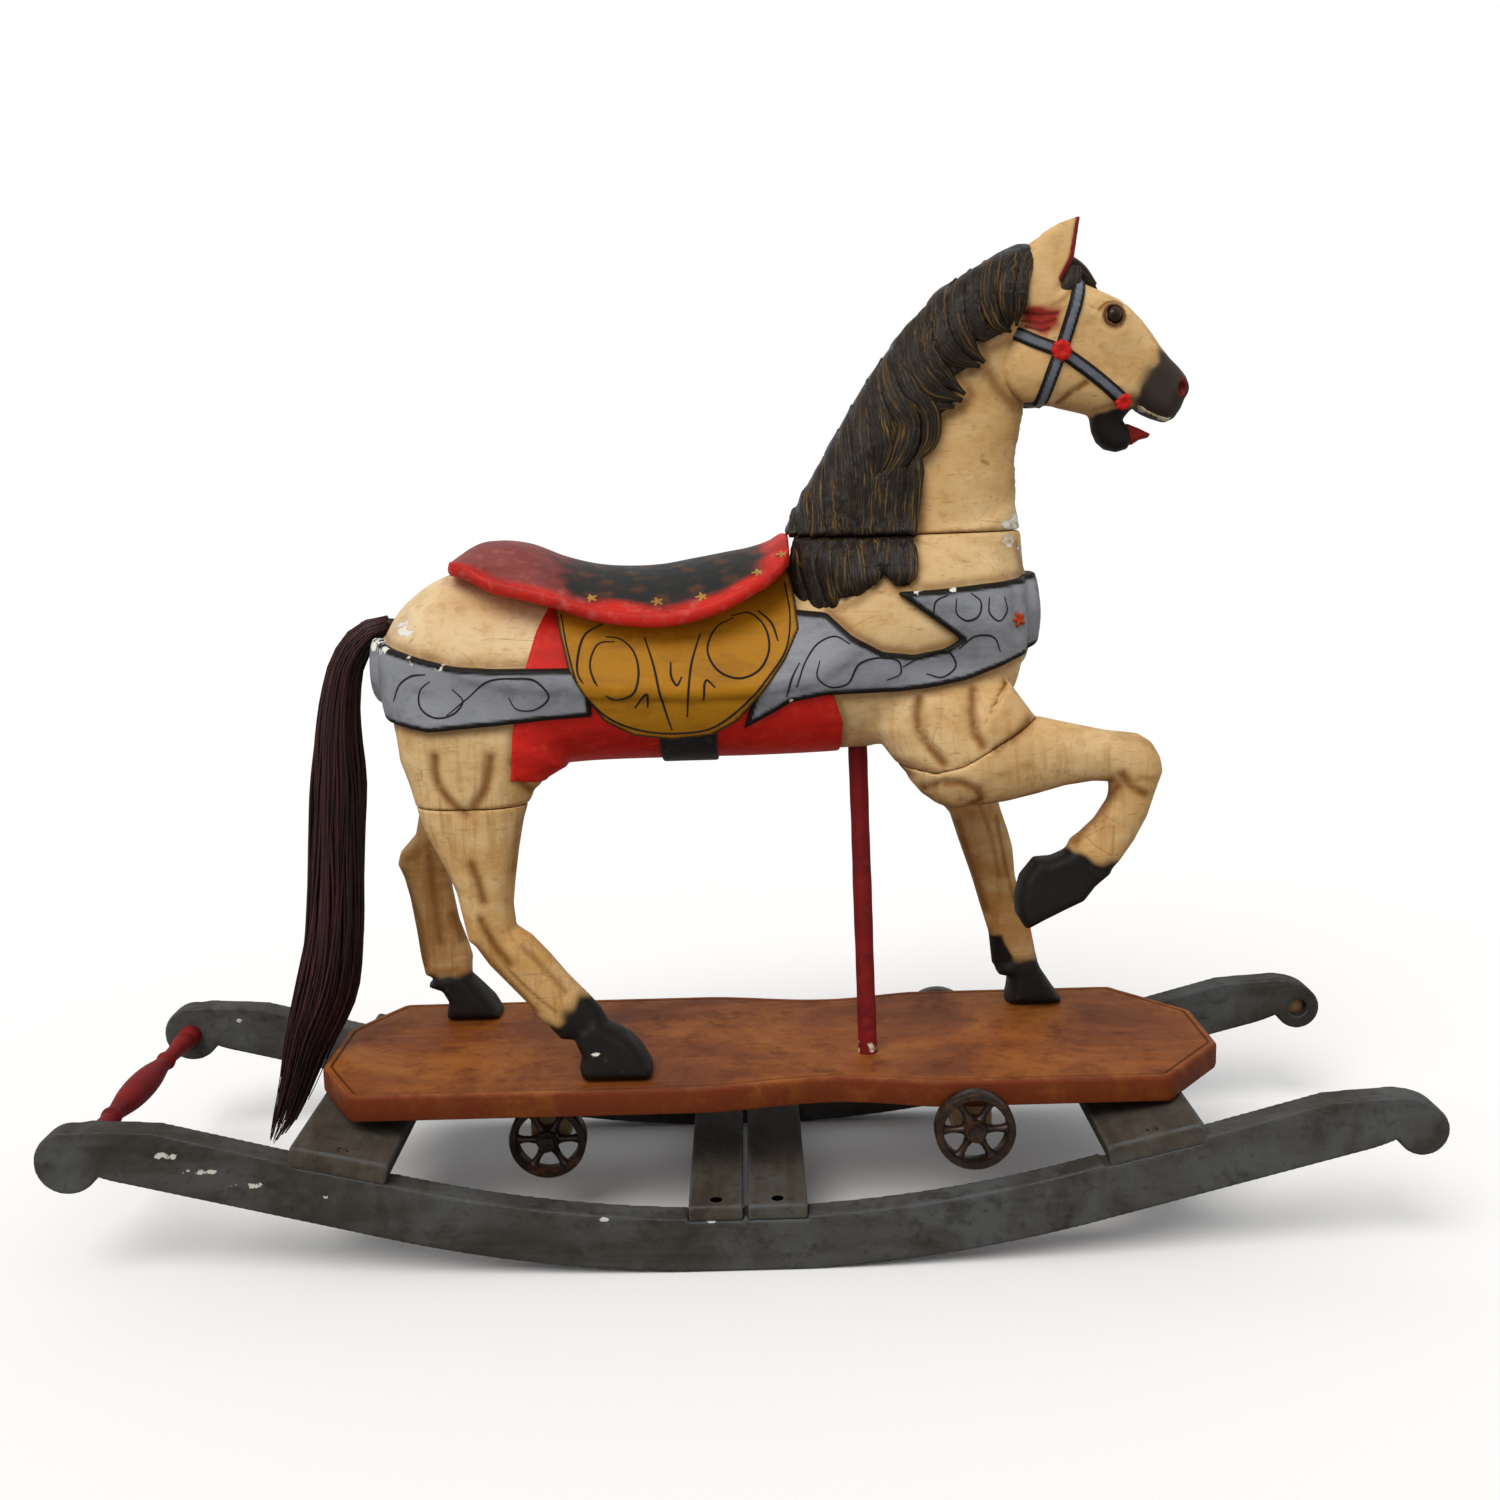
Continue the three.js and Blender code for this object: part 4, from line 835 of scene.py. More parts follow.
def dress(piece, vertices, quads, lines=(), patches=(), chips=(), stripes=(), depth=(0.12, 0.9), far_side_shade_and_age=0.0):
    """Tint with painted shade and painted light, glazing with painted shade, cover colours and chips of a
    carved piece.

    lines: [points, width, strength] of brown glazing, along borders also painted shade; patches: [outline,
    colour, blur];
    stripes: [points, half width, colour]; chips: [x, y, z, radius].
    """
    x, y, z = vertices.T
    colour = np.tile(np.array(CREAM), (len(x), 1))
    # Darker in hollows and creases: brown glazing, partly painted shade.
    stain = smooth_step(hollows(vertices, quads), *depth)
    # Broad concavities darken: painted shade in place of ambient occlusion.
    broad = smooth_step(hollows(vertices, quads, 16), 0.3, 3.2)
    if piece.name[:4] not in ("head", "neck"):
        lines = list(lines) + [[muscle[0], 5.5, 0.9] for muscle in MUSCLES_HIND + MUSCLES_FORE]
    # Darker towards the underside: painted shade.
    low = 1 - smooth_step(z, 300, 640)
    warm = 0.5 * smooth_step(z, 735, 790)[:, None]
    # Lighter on top of the hindquarters: painted light.
    painted_top_light = 0.6 * (smooth_step(z, 600, 640) * (1 - smooth_step(x, -200, -60)))[:, None]
    # Darker yellow-brown mix from painted shade (broad hollows, underside) with random tone.
    ochre_and_painted_shade = np.clip(0.8 * broad + 0.52 * low + 0.12 * ripple(x, y, z, 30.0, 6), 0, 0.95)[:, None]
    colour += (np.array([0.72, 0.43, 0.15]) - colour) * warm
    colour += (np.array([0.84, 0.67, 0.43]) - colour) * painted_top_light
    colour += (np.array([0.50, 0.235, 0.042]) - colour) * ochre_and_painted_shade
    # Far-side legs get a darker brown: painted shade together with age.
    colour += (np.array([0.30, 0.122, 0.026]) - colour) * far_side_shade_and_age
    cover = np.zeros(len(x))
    # Brown glazing lines; along the borders of bands, cloth, flaps and mane and under overhangs they are
    # painted shade as well.
    for points, width, strength in lines:
        stain = np.maximum(stain, strength * np.exp(-((line_distance(x, z, points) / width) ** 2)))
    for outline, shade, blur in patches:
        edge = outline_distance(x, z, outline) + blur * 0.6 * ripple(x, y, z, 7.0, 3)
        amount = (1 - smooth_step(edge, -blur, blur))[:, None]
        colour = colour * (1 - amount) + np.array(shade) * amount
        cover = np.maximum(cover, amount[:, 0])
    for points, half, shade in stripes:
        amount = 1 - smooth_step(line_distance(x, z, points), half - 1, half + 1)
        colour = colour * (1 - amount[:, None]) + np.array(shade) * amount[:, None]
        cover = np.maximum(cover, amount)
    chip = np.zeros(len(x))
    for cx, cy, cz, radius in chips:
        reach = np.hypot(np.hypot(x - cx, 1.6 * (z - cz)), 0.5 * (y - cy)) / radius
        chip = np.maximum(chip, 0.545 * (1 - smooth_step(reach, 0.3, 1.4)))
    tint(piece, colour)
    mark(piece, "stain", np.clip(stain, 0, 1))
    mark(piece, "cover", cover)
    mark(piece, "chip", chip)


def carve(name, grid, field, node, lines=(), patches=(), chips=(), rounds=2, far_side_shade_and_age=0.0):
    raw, quads = surface(field, grid)
    vertices = relax(raw, quads, rounds)
    for seam in (NECK_SEAM, HIND_SEAM):
        at_seam = np.abs(raw[:, 2] - seam) < 1.3 * grid.step
        vertices[at_seam] = raw[at_seam]
    piece = build(name, vertices, quads, "horse_platform", [node])
    paint(piece, "cream_paint")
    dress(piece, vertices, quads, lines, patches, chips, far_side_shade_and_age=far_side_shade_and_age)
    return piece


GAP = 0.3
REAR_EDGE_TOP = [(-380, 638), (-352, 634), (-311, 622), (-276, 614), (-205, 611)]
REAR_EDGE_LOW = [(-390, 556), (-341, 549), (-305, 543), (-251, 547), (-190, 551)]
BREAST_EDGE_TOP = [(168, 676), (205, 677), (259, 681), (301, 684), (330, 688)]
BREAST_EDGE_LOW = [(114, 569), (165, 570), (204, 574), (243, 581), (272, 590), (330, 612)]
BREAST_NOTCH = [(172, 673), (207, 645), (235, 625), (216, 618), (185, 613), (154, 617), (125, 633),
                (101, 655)]
MANE_EDGE = [(192, 728), (190, 700), (186, 680), (174, 674), (154, 690), (144, 674), (128, 663), (104, 655)]
NECK_ROOM = [(-60, NECK_SEAM - GAP), (360, NECK_SEAM - GAP), (360, 1100), (-60, 1100)]
HIND_ROOM = [(-420, 150), (-420, HIND_SEAM + GAP), (-80, HIND_SEAM + GAP), (-80, 150)]
FORE_ROOM = FORE_SEAM + [(480, 552), (480, 150), (160, 150)]


def trunk():
    grid = Grid((-386, -136, 446), (340, 136, 748), 3.0)
    field = body_field(grid)
    field = soft_max(field, -cell(grid, NECK_ROOM), 0.5)
    hind = np.maximum(cell(grid, HIND_ROOM), 4 - np.abs(grid.y))
    fore = np.maximum(cell(grid, FORE_ROOM, GAP), 14 - np.abs(grid.y))
    field = soft_max(soft_max(field, -hind, 0.5), -fore, 1.0)
    # Lines along the band, cloth, flap, mane and saddle borders and under the belly give brown glazing with
    # painted shade.
    carve("trunk_carved", grid, field, "trunk", lines=[
        [[(299, 715), (303, 700), (305, 690)], 5, 0.5], [[(-345, 640), (-330, 655)], 8, 0.3],
        [[(150, 502), (175, 500), (205, 492)], 6, 0.6], [[(60, 500), (110, 506), (140, 508)], 7, 0.35],
        [[(-352, 545), (-345, 500), (-338, 470)], 6, 0.45], [REAR_EDGE_TOP, 6, 0.55],
        [REAR_EDGE_LOW, 6, 0.6], [BREAST_EDGE_TOP, 5, 0.6], [BREAST_EDGE_LOW, 6, 0.55],
        [BREAST_NOTCH, 5, 0.7], [MANE_EDGE, 5, 0.6], [[(-222, 495), (-220, 545), (-203, 613)], 6, 0.6],
        [[(114, 500), (114, 545), (104, 575)], 6, 0.6], [[(-290, 695), (-240, 682), (-180, 665)], 6, 0.5],
        [[(-300, 466), (-250, 466), (-205, 470)], 2.0, 0.5],
    ], chips=[
        (-365, -40, 625, 26), (-345, -80, 636, 20), (-330, -80, 648, 26), (-352, 0, 650, 30),
        (295, -50, 718, 22), (300, -20, 705, 20), (-352, -70, 540, 14), (-340, -85, 498, 12),
        (-310, -70, 632, 14),
    ])


def neck():
    grid = Grid((50, -112, 715), (348, 112, 1012), 2.6)
    field = body_field(grid)
    field = soft_max(field, cell(grid, [
        (0, NECK_SEAM + 0.5), (345, NECK_SEAM + 0.5), (345, 852), (312, 857), (292, 876), (292, 905),
        (306, 950), (318, 985), (300, 1060), (0, 1060),
    ]), 3)
    # Lines under the jaw and along the mane give brown glazing with painted shade.
    carve("neck_carved", grid, field, "neck", lines=[
        [[(300, 853), (288, 862), (276, 874), (268, 888)], 8, 0.75],
        [[(300, 860), (303, 810), (297, 770)], 5, 0.3], [[(262, 905), (276, 912), (296, 920)], 5, 0.5],
        [[(197, 730), (197, 764), (194, 786), (208, 820), (224, 845), (240, 852), (250, 866), (240, 885),
          (266, 894), (262, 918)], 7, 0.75], [[(198, 729), (250, 730), (300, 733)], 2.5, 0.6],
        [[(262, 800), (268, 797)], 2.0, 0.8],
    ], chips=[(296, -40, 734, 24), (300, -10, 742, 20), (280, -60, 733, 14)])


def hind_leg(side):
    right = side == "right"
    y = -98 if right else 102
    grid = (Grid((-352, -134, 166), (-84, -40, 474), 2.0) if right
            else Grid((-398, 40, 166), (-236, 138, 474), 2.0))
    outline, stations = (HIND_RIGHT_SIDE, HIND_RIGHT) if right else (HIND_LEFT_SIDE, HIND_LEFT)
    field = swollen(grid, outline, stations)
    if right:
        field = groove(grid, field, MUSCLES_HIND)
    field = soft_min(even(field, grid), hoof(grid, f"hind_{side}", y), 4)
    field = soft_max(field, grid.z - (HIND_SEAM - GAP), 0.5)
    field = np.maximum(field, 174.4 - grid.z)
    if right:
        lines = [
            [[(-262, 350), (-254, 330), (-244, 312)], 5, 0.95],
            [[(-222, 320), (-200, 296), (-180, 272)], 3.5, 0.6],
            [[(-268, 318), (-240, 283), (-212, 250)], 5, 0.8],
            [[(-205, 470), (-222, 440), (-228, 400)], 5, 0.5],
            [[(-330, 458), (-312, 425), (-290, 380)], 4, 0.45],
            [[(-240, 300), (-215, 272), (-190, 250)], 2.2, 0.7],
        ]
        patches = [[[(-166, 268), (-150, 262), (-80, 262), (-80, 165), (-205, 165), (-204, 232),
                     (-186, 240)],
                    BLACK_PAINT, 8.0]]
    else:
        lines = [
            [[(-385, 350), (-372, 300), (-368, 240)], 7, 0.9],
            [[(-350, 380), (-350, 330), (-345, 270)], 6, 0.75],
            [[(-325, 420), (-345, 390), (-375, 370)], 8, 0.7], [[(-330, 300), (-322, 270)], 5, 0.7],
        ]
        patches = [[[(-400, 226), (-300, 231), (-260, 228), (-260, 165), (-400, 165)], BLACK_PAINT, 6.0]]
    # The far leg is tinted darker brown: painted shade together with age.
    carve(f"hind_leg_{side}_carved", grid, field, f"hind_leg_{side}", lines=lines, patches=patches,
          chips=[(-150, -120, 205, 9)] if right else (), far_side_shade_and_age=0.0 if right else 0.42)


def foreleg_left():
    grid = Grid((150, 8, 166), (386, 142, 560), 2.2)
    field = soft_min(body_field(grid), hoof(grid, "fore_left", 105), 4)
    field = soft_max(field, np.maximum(cell(grid, FORE_ROOM), 14.5 - grid.y), 1.2)
    field = np.maximum(field, 174.4 - grid.z)
    # This far-side leg is tinted darker brown: painted shade together with age.
    carve("foreleg_left_carved", grid, field, "foreleg_left", lines=[
        [[(252, 395), (268, 345), (286, 290)], 6, 0.8], [[(296, 400), (306, 350), (318, 300)], 3, 0.7],
        [[(275, 420), (290, 380), (300, 330)], 3, 0.5], [[(292, 262), (296, 222)], 4, 0.7],
    ], patches=[
        [[(285, 232), (345, 229), (400, 226), (400, 165), (285, 165)], BLACK_PAINT, 5.0],
        [[(286, 258), (304, 258), (316, 232), (314, 208), (286, 208)], BLACK_PAINT, 3.0],
    ], far_side_shade_and_age=0.38)


def foreleg_right():
    grid = Grid((130, -134, 312), (448, -8, 560), 2.2)
    field = soft_min(body_field(grid), hoof(grid, "raised", -85), 4)
    field = soft_max(field, np.maximum(cell(grid, FORE_ROOM), grid.y + 14.5), 1.2)
    carve("foreleg_right_carved", grid, field, "foreleg_right", lines=[
        [[(310, 464), (285, 456), (249, 451), (222, 449)], 5, 0.8],
        [[(385, 476), (352, 472), (325, 467)], 5, 0.7],
        [[(384, 468), (376, 446), (360, 424), (349, 410)], 5, 0.8],
        [[(432, 506), (420, 516), (395, 523)], 5, 0.4], [[(246, 470), (262, 486), (300, 498)], 6, 0.3],
        [[(400, 470), (412, 480), (425, 478)], 4, 0.5], [[(193, 466), (205, 456), (222, 450)], 6, 0.8],
    ], patches=[[[(340, 410), (347, 406), (369, 393), (398, 389), (410, 380), (380, 300), (280, 300),
                  (280, 400)],
                 BLACK_PAINT, 5.0]], chips=[(425, -90, 485, 8)])


# ------------------------------------------------------------------ head
CROWN_STRAP = [(372, 1010), (363, 978), (355, 950), (341, 907), (333, 887), (324, 858), (320, 842)]
THROAT_STRAP = [(284, 932), (297, 926), (317, 916), (341, 907)]
CHEEK_STRAP = [(341, 907), (373, 885), (411, 855)]


def head_field(grid):
    field = swollen(grid, HEAD_SIDE, HEAD, 2.15)
    jaw = puffed(grid, JAW_SIDE, lambda x, z: 19 + 5 * smooth_step(z, 830, 860), 13.0, 0.0, 2.2)
    field = soft_min(field, jaw, 5)
    for sign in (-1, 1):
        field = soft_min(field, ball(grid, (394, sign * 25.0, 941), (18, 13, 13)), 7)
        field = soft_max(field, -ball(grid, (396, sign * 36.0, 941), (9.6, 9, 9.6)), 1.5)
        field = soft_min(field, ball(grid, (466, sign * 20.0, 868), (12, 9, 12)), 5)
        field = soft_min(field, ball(grid, (318, sign * 30.0, 892), (34, 18, 34)), 12)
        field = soft_max(field, -ball(grid, (470, sign * 28.0, 868), (4.5, 7, 7)), 3)
    lines = [
        [[(374, 947), (382, 954), (394, 958), (406, 954), (411, 945)], 1.4, 2.2],
        [[(384, 932), (394, 926), (407, 931)], 0.9, 2.2],
        [[(371, 931), (379, 912), (391, 893), (400, 880)], 1.6, 6.0],
        [[(343, 857), (352, 865), (368, 875)], 1.8, 3.5],
        [[(300, 858), (287, 869), (278, 882), (275, 896)], 2.0, 4.0],
        [[(424, 853), (412, 858)], 2.2, 2.2], [[(445, 898), (431, 884), (424, 868)], 1.2, 4.0],
    ]
    return even(groove(grid, field, lines), grid)


def ear_field(grid, sign):
    return puffed(grid, EAR_SIDE, lambda x, z: 12 - 7 * smooth_step(z, 950, 1035), 10.0, sign * 34.0, 2.0)


RED_ORNAMENT = [(302, 950), (321, 953), (341, 947), (340, 932), (327, 922), (304, 930)]


def head():
    grid = Grid((264, -62, 796), (490, 62, 1046), 1.7)
    field = head_field(grid)
    field = soft_min(field, soft_min(ear_field(grid, -1), ear_field(grid, 1), 1), 4)
    vertices, quads = surface(field, grid)
    vertices = relax(vertices, quads, 1)
    piece = build("head_carved", vertices, quads, "horse_platform", ["head"])
    paint(piece, "cream_paint")
    # Lines where the head meets the neck and under the jaw give brown glazing with painted shade.
    dress(piece, vertices, quads, lines=[
        [[(300, 858), (287, 868), (278, 880), (275, 892), (274, 904)], 6, 1.0],
        [[(300, 860), (330, 856), (372, 848), (386, 842)], 4, 0.5],
        [[(343, 857), (352, 865), (368, 875)], 3.5, 0.9], [[(380, 848), (404, 854), (420, 862)], 4, 0.6],
        [[(380, 947), (388, 953), (398, 955), (406, 952)], 2.4, 1.0],
        [[(404, 948), (408, 940), (402, 930)], 2.0, 0.9],
        [[(386, 938), (390, 932), (398, 929)], 2.0, 0.8], [[(352, 966), (344, 958), (332, 951)], 3, 0.6],
    ], patches=[
        [[(446, 908), (456, 906), (500, 890), (500, 826), (428, 826), (424, 849), (419, 858), (423, 872),
          (432, 884)], (0.043, 0.031, 0.023), 7.0],
        [[(378, 842), (398, 850), (416, 852), (430, 850), (440, 830), (430, 800), (380, 800)],
         BLACK_PAINT, 3.0], [RED_ORNAMENT, (0.34, 0.026, 0.016), 5.0],
        [[(467, 881), (475, 878), (473, 860), (466, 860)], (0.15, 0.010, 0.009), 1.6],
    ], stripes=[
        [[(303, 946), (320, 943), (338, 944)], 1.6, (0.15, 0.010, 0.008)],
        [[(304, 938), (322, 934), (336, 938)], 1.3, (0.17, 0.012, 0.009)],
        [[(307, 932), (322, 927), (330, 929)], 1.5, (0.14, 0.010, 0.008)],
        [[(363, 1044), (357, 1012), (354, 997), (350, 989), (344, 978)], 5.0, (0.24, 0.016, 0.016)],
        [[(396 + 10.5 * math.cos(a), 941 + 10 * math.sin(a)) for a in np.linspace(0, 2 * math.pi, 25)], 2.4,
         (0.115, 0.048, 0.015)],
    ],
        depth=(0.10, 0.6))
    return grid, field


def eyes():
    for side, sign in (("right", -1), ("left", 1)):
        rows = [(9.4 * -math.cos(t), max(9.4 * math.sin(t), 0.02)) for t in np.linspace(0, math.pi, 22)]
        vertices, faces = lathe(rows, (0, 1, 0), (396, sign * 33.6, 941), 32)
        eye = build(f"glass_eye_{side}", vertices, faces, "horse_platform", [f"eye_{side}"])
        paint(eye, "eye_glass")


def mouth():
    """Tongue tip and the row of upper teeth."""
    grid = Grid((400, -20, 800), (452, 20, 850), 0.9)
    tongue = puffed(grid, [(402, 834), (420, 834), (432, 829), (444, 823), (441, 819), (432, 817),
                           (424, 812), (402, 815)], 10, 5.0)
    vertices, quads = surface(tongue, grid)
    piece = build("tongue", vertices, quads, "horse_platform")
    paint(piece, "dark_red_paint")
    row = Grid((418, -24, 828), (470, 24, 860), 0.8)
    teeth = puffed(row, [
        (424, 853), (430, 846), (440, 841.5), (450, 837), (458, 834.5), (463, 838), (463, 846),
        (440, 856),
    ],
        lambda x, z: 19 - 0.06 * np.abs(x - 440), 3.0)
    notch = 0.7 * np.abs(np.sin((row.x + 0.35 * row.z) * math.pi / 4.6)) ** 0.3
    vertices, quads = surface(teeth - notch + 0.6, row)
    paint(build("upper_teeth", vertices, quads, "horse_platform"), "ivory_paint")


# ------------------------------------------------------------------ harness and saddle
CLOTH_SIDE = [(-182, 668), (-195, 642), (-203, 613), (-220, 545), (-225, 493), (-188, 486), (-160, 470),
              (112, 470), (114, 540), (104, 572), (60, 600), (60, 668)]
GIRTH_SIDE = [(-74, 540), (-74, 470), (-15, 470), (-15, 540)]
REAR_STRAP_SIDE = [(-420, 637), (-380, 634), (-352, 630), (-311, 619), (-276, 611), (-237, 608), (-140, 606),
                   (-140, 557), (-193, 554), (-251, 550), (-305, 546), (-341, 552), (-420, 566)]
BREAST_STRAP_SIDE = [
    (12, 538), (61, 566), (94, 572), (165, 573), (204, 577), (243, 584), (272, 593), (307, 606),
    (345, 620), (345, 688), (301, 681), (259, 678), (205, 674), (168, 673), (204, 646), (233, 624),
    (216, 615), (185, 610), (154, 614), (123, 631), (99, 653), (50, 657),
]
FLAP_SIDE = [
    (-177, 668), (-170, 638), (-161, 605), (-144, 576), (-127, 552), (-99, 535), (-60, 529), (-20, 533),
    (5, 547), (31, 575), (57, 610), (71, 638), (68, 667), (62, 700), (44, 688), (26, 678), (-2, 664),
    (-38, 653), (-74, 649), (-109, 650), (-138, 658),
]
FLAP_LINES = [
    [(-169, 659), (-161, 623), (-146, 582), (-121, 555), (-85, 540), (-52, 537), (-22, 541), (7, 560),
     (37, 592), (57, 620), (62, 650), (58, 683)],
    [(-127, 648), (-144, 639), (-151, 619), (-151, 602), (-143, 589)],
    [(-115, 631), (-130, 630), (-139, 612), (-133, 592), (-114, 575), (-97, 581), (-91, 604), (-98, 624),
     (-111, 634), (-124, 636)],
    [(5, 650), (-12, 642), (-22, 619), (-13, 602), (10, 593), (30, 601), (40, 621), (34, 644), (21, 654),
     (3, 652)], [(30, 656), (43, 644), (49, 627)],
    [(-85, 634), (-76, 607), (-70, 580), (-64, 556), (-60, 541)],
    [(-29, 636), (-38, 609), (-42, 579), (-44, 555)], [(-59, 610), (-58, 595), (-53, 588), (-48, 596)],
    [(-27, 572), (-23, 592), (-15, 585)], [(-96, 566), (-83, 580), (-83, 566)],
]
REAR_LINES = [
    [(-341, 576), (-333, 593), (-320, 602), (-304, 604)],
    [(-300, 597), (-310, 589), (-311, 572), (-295, 561), (-275, 566), (-267, 577), (-277, 589)],
    [(-284, 563), (-261, 581), (-240, 597), (-216, 599), (-193, 596), (-181, 579), (-195, 567),
     (-215, 569), (-221, 580)],
]
BREAST_LINES = [
    [(66, 582), (77, 609), (90, 625), (107, 631), (120, 624)],
    [(90, 608), (87, 592), (100, 581), (116, 583), (130, 604), (150, 609), (170, 603), (171, 593),
     (157, 586)], [(173, 599), (193, 609), (220, 612), (227, 598), (213, 587), (197, 591)],
    [(230, 615), (247, 627), (267, 624), (273, 610)], [(204, 650), (207, 663), (220, 669)],
    [(228, 665), (228, 650), (238, 643), (250, 647), (253, 661), (243, 670)],
    [(262, 665), (262, 649), (272, 641), (280, 650), (278, 665)], [(56, 572), (62, 592), (70, 606)],
]


def drape(field, grid, x, z, sign, level):
    """Sideways distance at which the surface `level` above the carving is met, from outside."""
    reach = np.linspace(float(np.abs(grid.y).max()) - 1, 1, 200)
    x, z = np.atleast_1d(x), np.atleast_1d(z)
    spots = np.stack(np.broadcast_arrays(x[:, None], sign * reach[None, :], z[:, None]),
                     axis=-1).reshape(-1, 3)
    value = sample(field, grid, spots).reshape(len(x), -1) - level
    inside = value < 0
    first = np.argmax(inside, axis=1)
    met = inside.any(axis=1) & (first > 0)
    row = np.arange(len(x))
    v1, v0 = value[row, first], value[row, np.maximum(first - 1, 0)]
    t = np.where(met, v0 / np.where(v0 == v1, 1, v0 - v1), 0)
    y = reach[np.maximum(first - 1, 0)] + t * (reach[first] - reach[np.maximum(first - 1, 0)])
    return sign * np.where(met, y, 1.5)


def facing(field, grid, points):
    """Outward direction of a field at points."""
    step = 2.0
    parts = [sample(field, grid, points + step * axis) - sample(field, grid, points - step * axis)
             for axis in np.eye(3)]
    out = np.stack(parts, axis=1)
    return out / (np.linalg.norm(out, axis=1)[:, None] + 1e-9)


def painted_lines(name, field, grid, lines, level, sides=(-1,), width=1.0):
    parts = []
    for sign in sides:
        for points in lines:
            path = spline(points, 7 * len(points))
            y = drape(field, grid, path[:, 0], path[:, 1], sign, level + 0.25)
            spots = np.column_stack([path[:, 0], y, path[:, 1]])
            weight = width * (0.55 + 0.55 * np.sin(np.linspace(0.15, math.pi - 0.15, len(spots))))
            parts.append(tube(spots, weight, 8, 0.55, facing(field, grid, spots)))
    vertices, faces = merge(parts)
    paint(build(name, vertices, faces, "horse_platform"), "black_line")


def layer(name, node, slot, grid, field, outline, height, sides=0, sink=3.0, border=0.0,
          colours=None, rounds=1,
          edge=3.0, chips=(), lump=0.0):
    """Carved relief that stands off the body inside a side outline. sides: 0 both, -1 right, 1 left."""
    x, z = grid.side()
    flat = outline_distance(x, z, outline)
    mask = flat[:, None, :]
    if sides:
        mask = np.maximum(mask, 6 - sides * grid.y)
    relief = height + lump * ripple(grid.x, grid.y, grid.z, 14.0, 5)
    shape = np.maximum(soft_max(field - relief, mask, edge), -(field + sink))
    vertices, quads = surface(shape, grid)
    vertices = relax(vertices, quads, rounds)
    piece = build(name, vertices, quads, "horse_platform", [node])
    paint(piece, slot)
    if border:
        vx, vy, vz = vertices.T
        away = -outline_distance(vx, vz, outline)
        rim = (1 - smooth_step(away, border - 1.5, border + 0.5))[:, None]
        main, dark = np.array(colours[0]), np.array(colours[1])
        tint(piece, main * (1 - rim) + dark * rim)
        chip = np.zeros(len(vx))
        for cx, cy, cz, radius in chips:
            near = np.hypot(np.hypot(vx - cx, vz - cz), 0.5 * (vy - cy)) / radius
            chip = np.maximum(chip, 0.62 * (1 - smooth_step(near, 0.4, 1.2)))
        mark(piece, "chip", chip)
        mark(piece, "stain", np.zeros(len(vx)))
    return piece


BAND = (0.262, 0.270, 0.298)
SADDLE_TOP = (0.016, 0.020, 0.018)
SADDLE_RED = (0.60, 0.020, 0.012)


def harness():
    """Saddle cloth, girth block, breast and rear bands with their painted lines, and the flaps."""
    grid = Grid((-240, -124, 478), (122, 124, 676), 2.2)
    field = body_field(grid)
    layer("saddle_cloth_painted", "saddle_cloth", "red_paint", grid, field, CLOTH_SIDE, 3.0, sink=3.5)
    layer("girth_block", "girth_strap", "black_paint", grid, field, GIRTH_SIDE, 7.0, edge=2.5)
    grid = Grid((-196, -128, 518), (80, 128, 706), 2.0)
    field = body_field(grid)
    for side, sign in (("right", -1), ("left", 1)):
        layer(f"saddle_flap_{side}_carved", f"saddle_flap_{side}", "mustard_paint", grid, field,
              FLAP_SIDE, 11.0, sign, edge=4.0, border=3.5,
              colours=[(0.42, 0.178, 0.005), (0.05, 0.03, 0.01)])
    painted_lines("flap_scrolls", field, grid, FLAP_LINES, 11.0, (-1, 1), 1.1)
    grid = Grid((-396, -130, 536), (-128, 130, 650), 2.2)
    field = body_field(grid)
    layer("rear_strap_carved", "rear_strap", "blue_grey_paint", grid, field, REAR_STRAP_SIDE, 8.0,
          border=6.2, colours=[BAND, BLACK_PAINT], lump=0.5, chips=[
              (-368, -30, 630, 22), (-350, -70, 628, 18), (-320, -95, 618, 16), (-290, -105, 611, 12),
              (-376, -20, 570, 14), (-300, -105, 546, 10), (-260, -110, 610, 9),
          ])
    painted_lines("rear_strap_scrolls", field, grid, REAR_LINES, 8.0, (-1, 1), 0.9)
    grid = Grid((4, -126, 528), (334, 126, 696), 2.2)
    field = body_field(grid)
    layer("breast_strap_carved", "breast_strap", "blue_grey_paint", grid, field, BREAST_STRAP_SIDE, 8.0,
          border=6.2, colours=[BAND, BLACK_PAINT], lump=0.5, chips=[
              (100, -110, 652, 9), (190, -100, 673, 9), (225, -95, 674, 8), (306, -40, 606, 12),
              (62, -110, 566, 8),
          ])
    painted_lines("breast_strap_scrolls", field, grid, BREAST_LINES, 8.0, (-1, 1), 0.9)
    medallion(field, grid)


def medallion(field, grid):
    """Small carved flower in red and orange at the front end of the breast strap, on both sides."""
    parts = []
    for sign in (-1, 1):
        y = float(drape(field, grid, 293.0, 641.0, sign, 8.0)[0])
        centre = np.array([293.0, y, 641.0])
        out = facing(field, grid, centre[None, :])[0]
        parts.append(petals(centre, out, 8.5, 4.5, 2.6, 5))
    vertices, faces = merge(parts)
    paint(build("strap_medallions", vertices, faces, "horse_platform"), "medallion_paint")


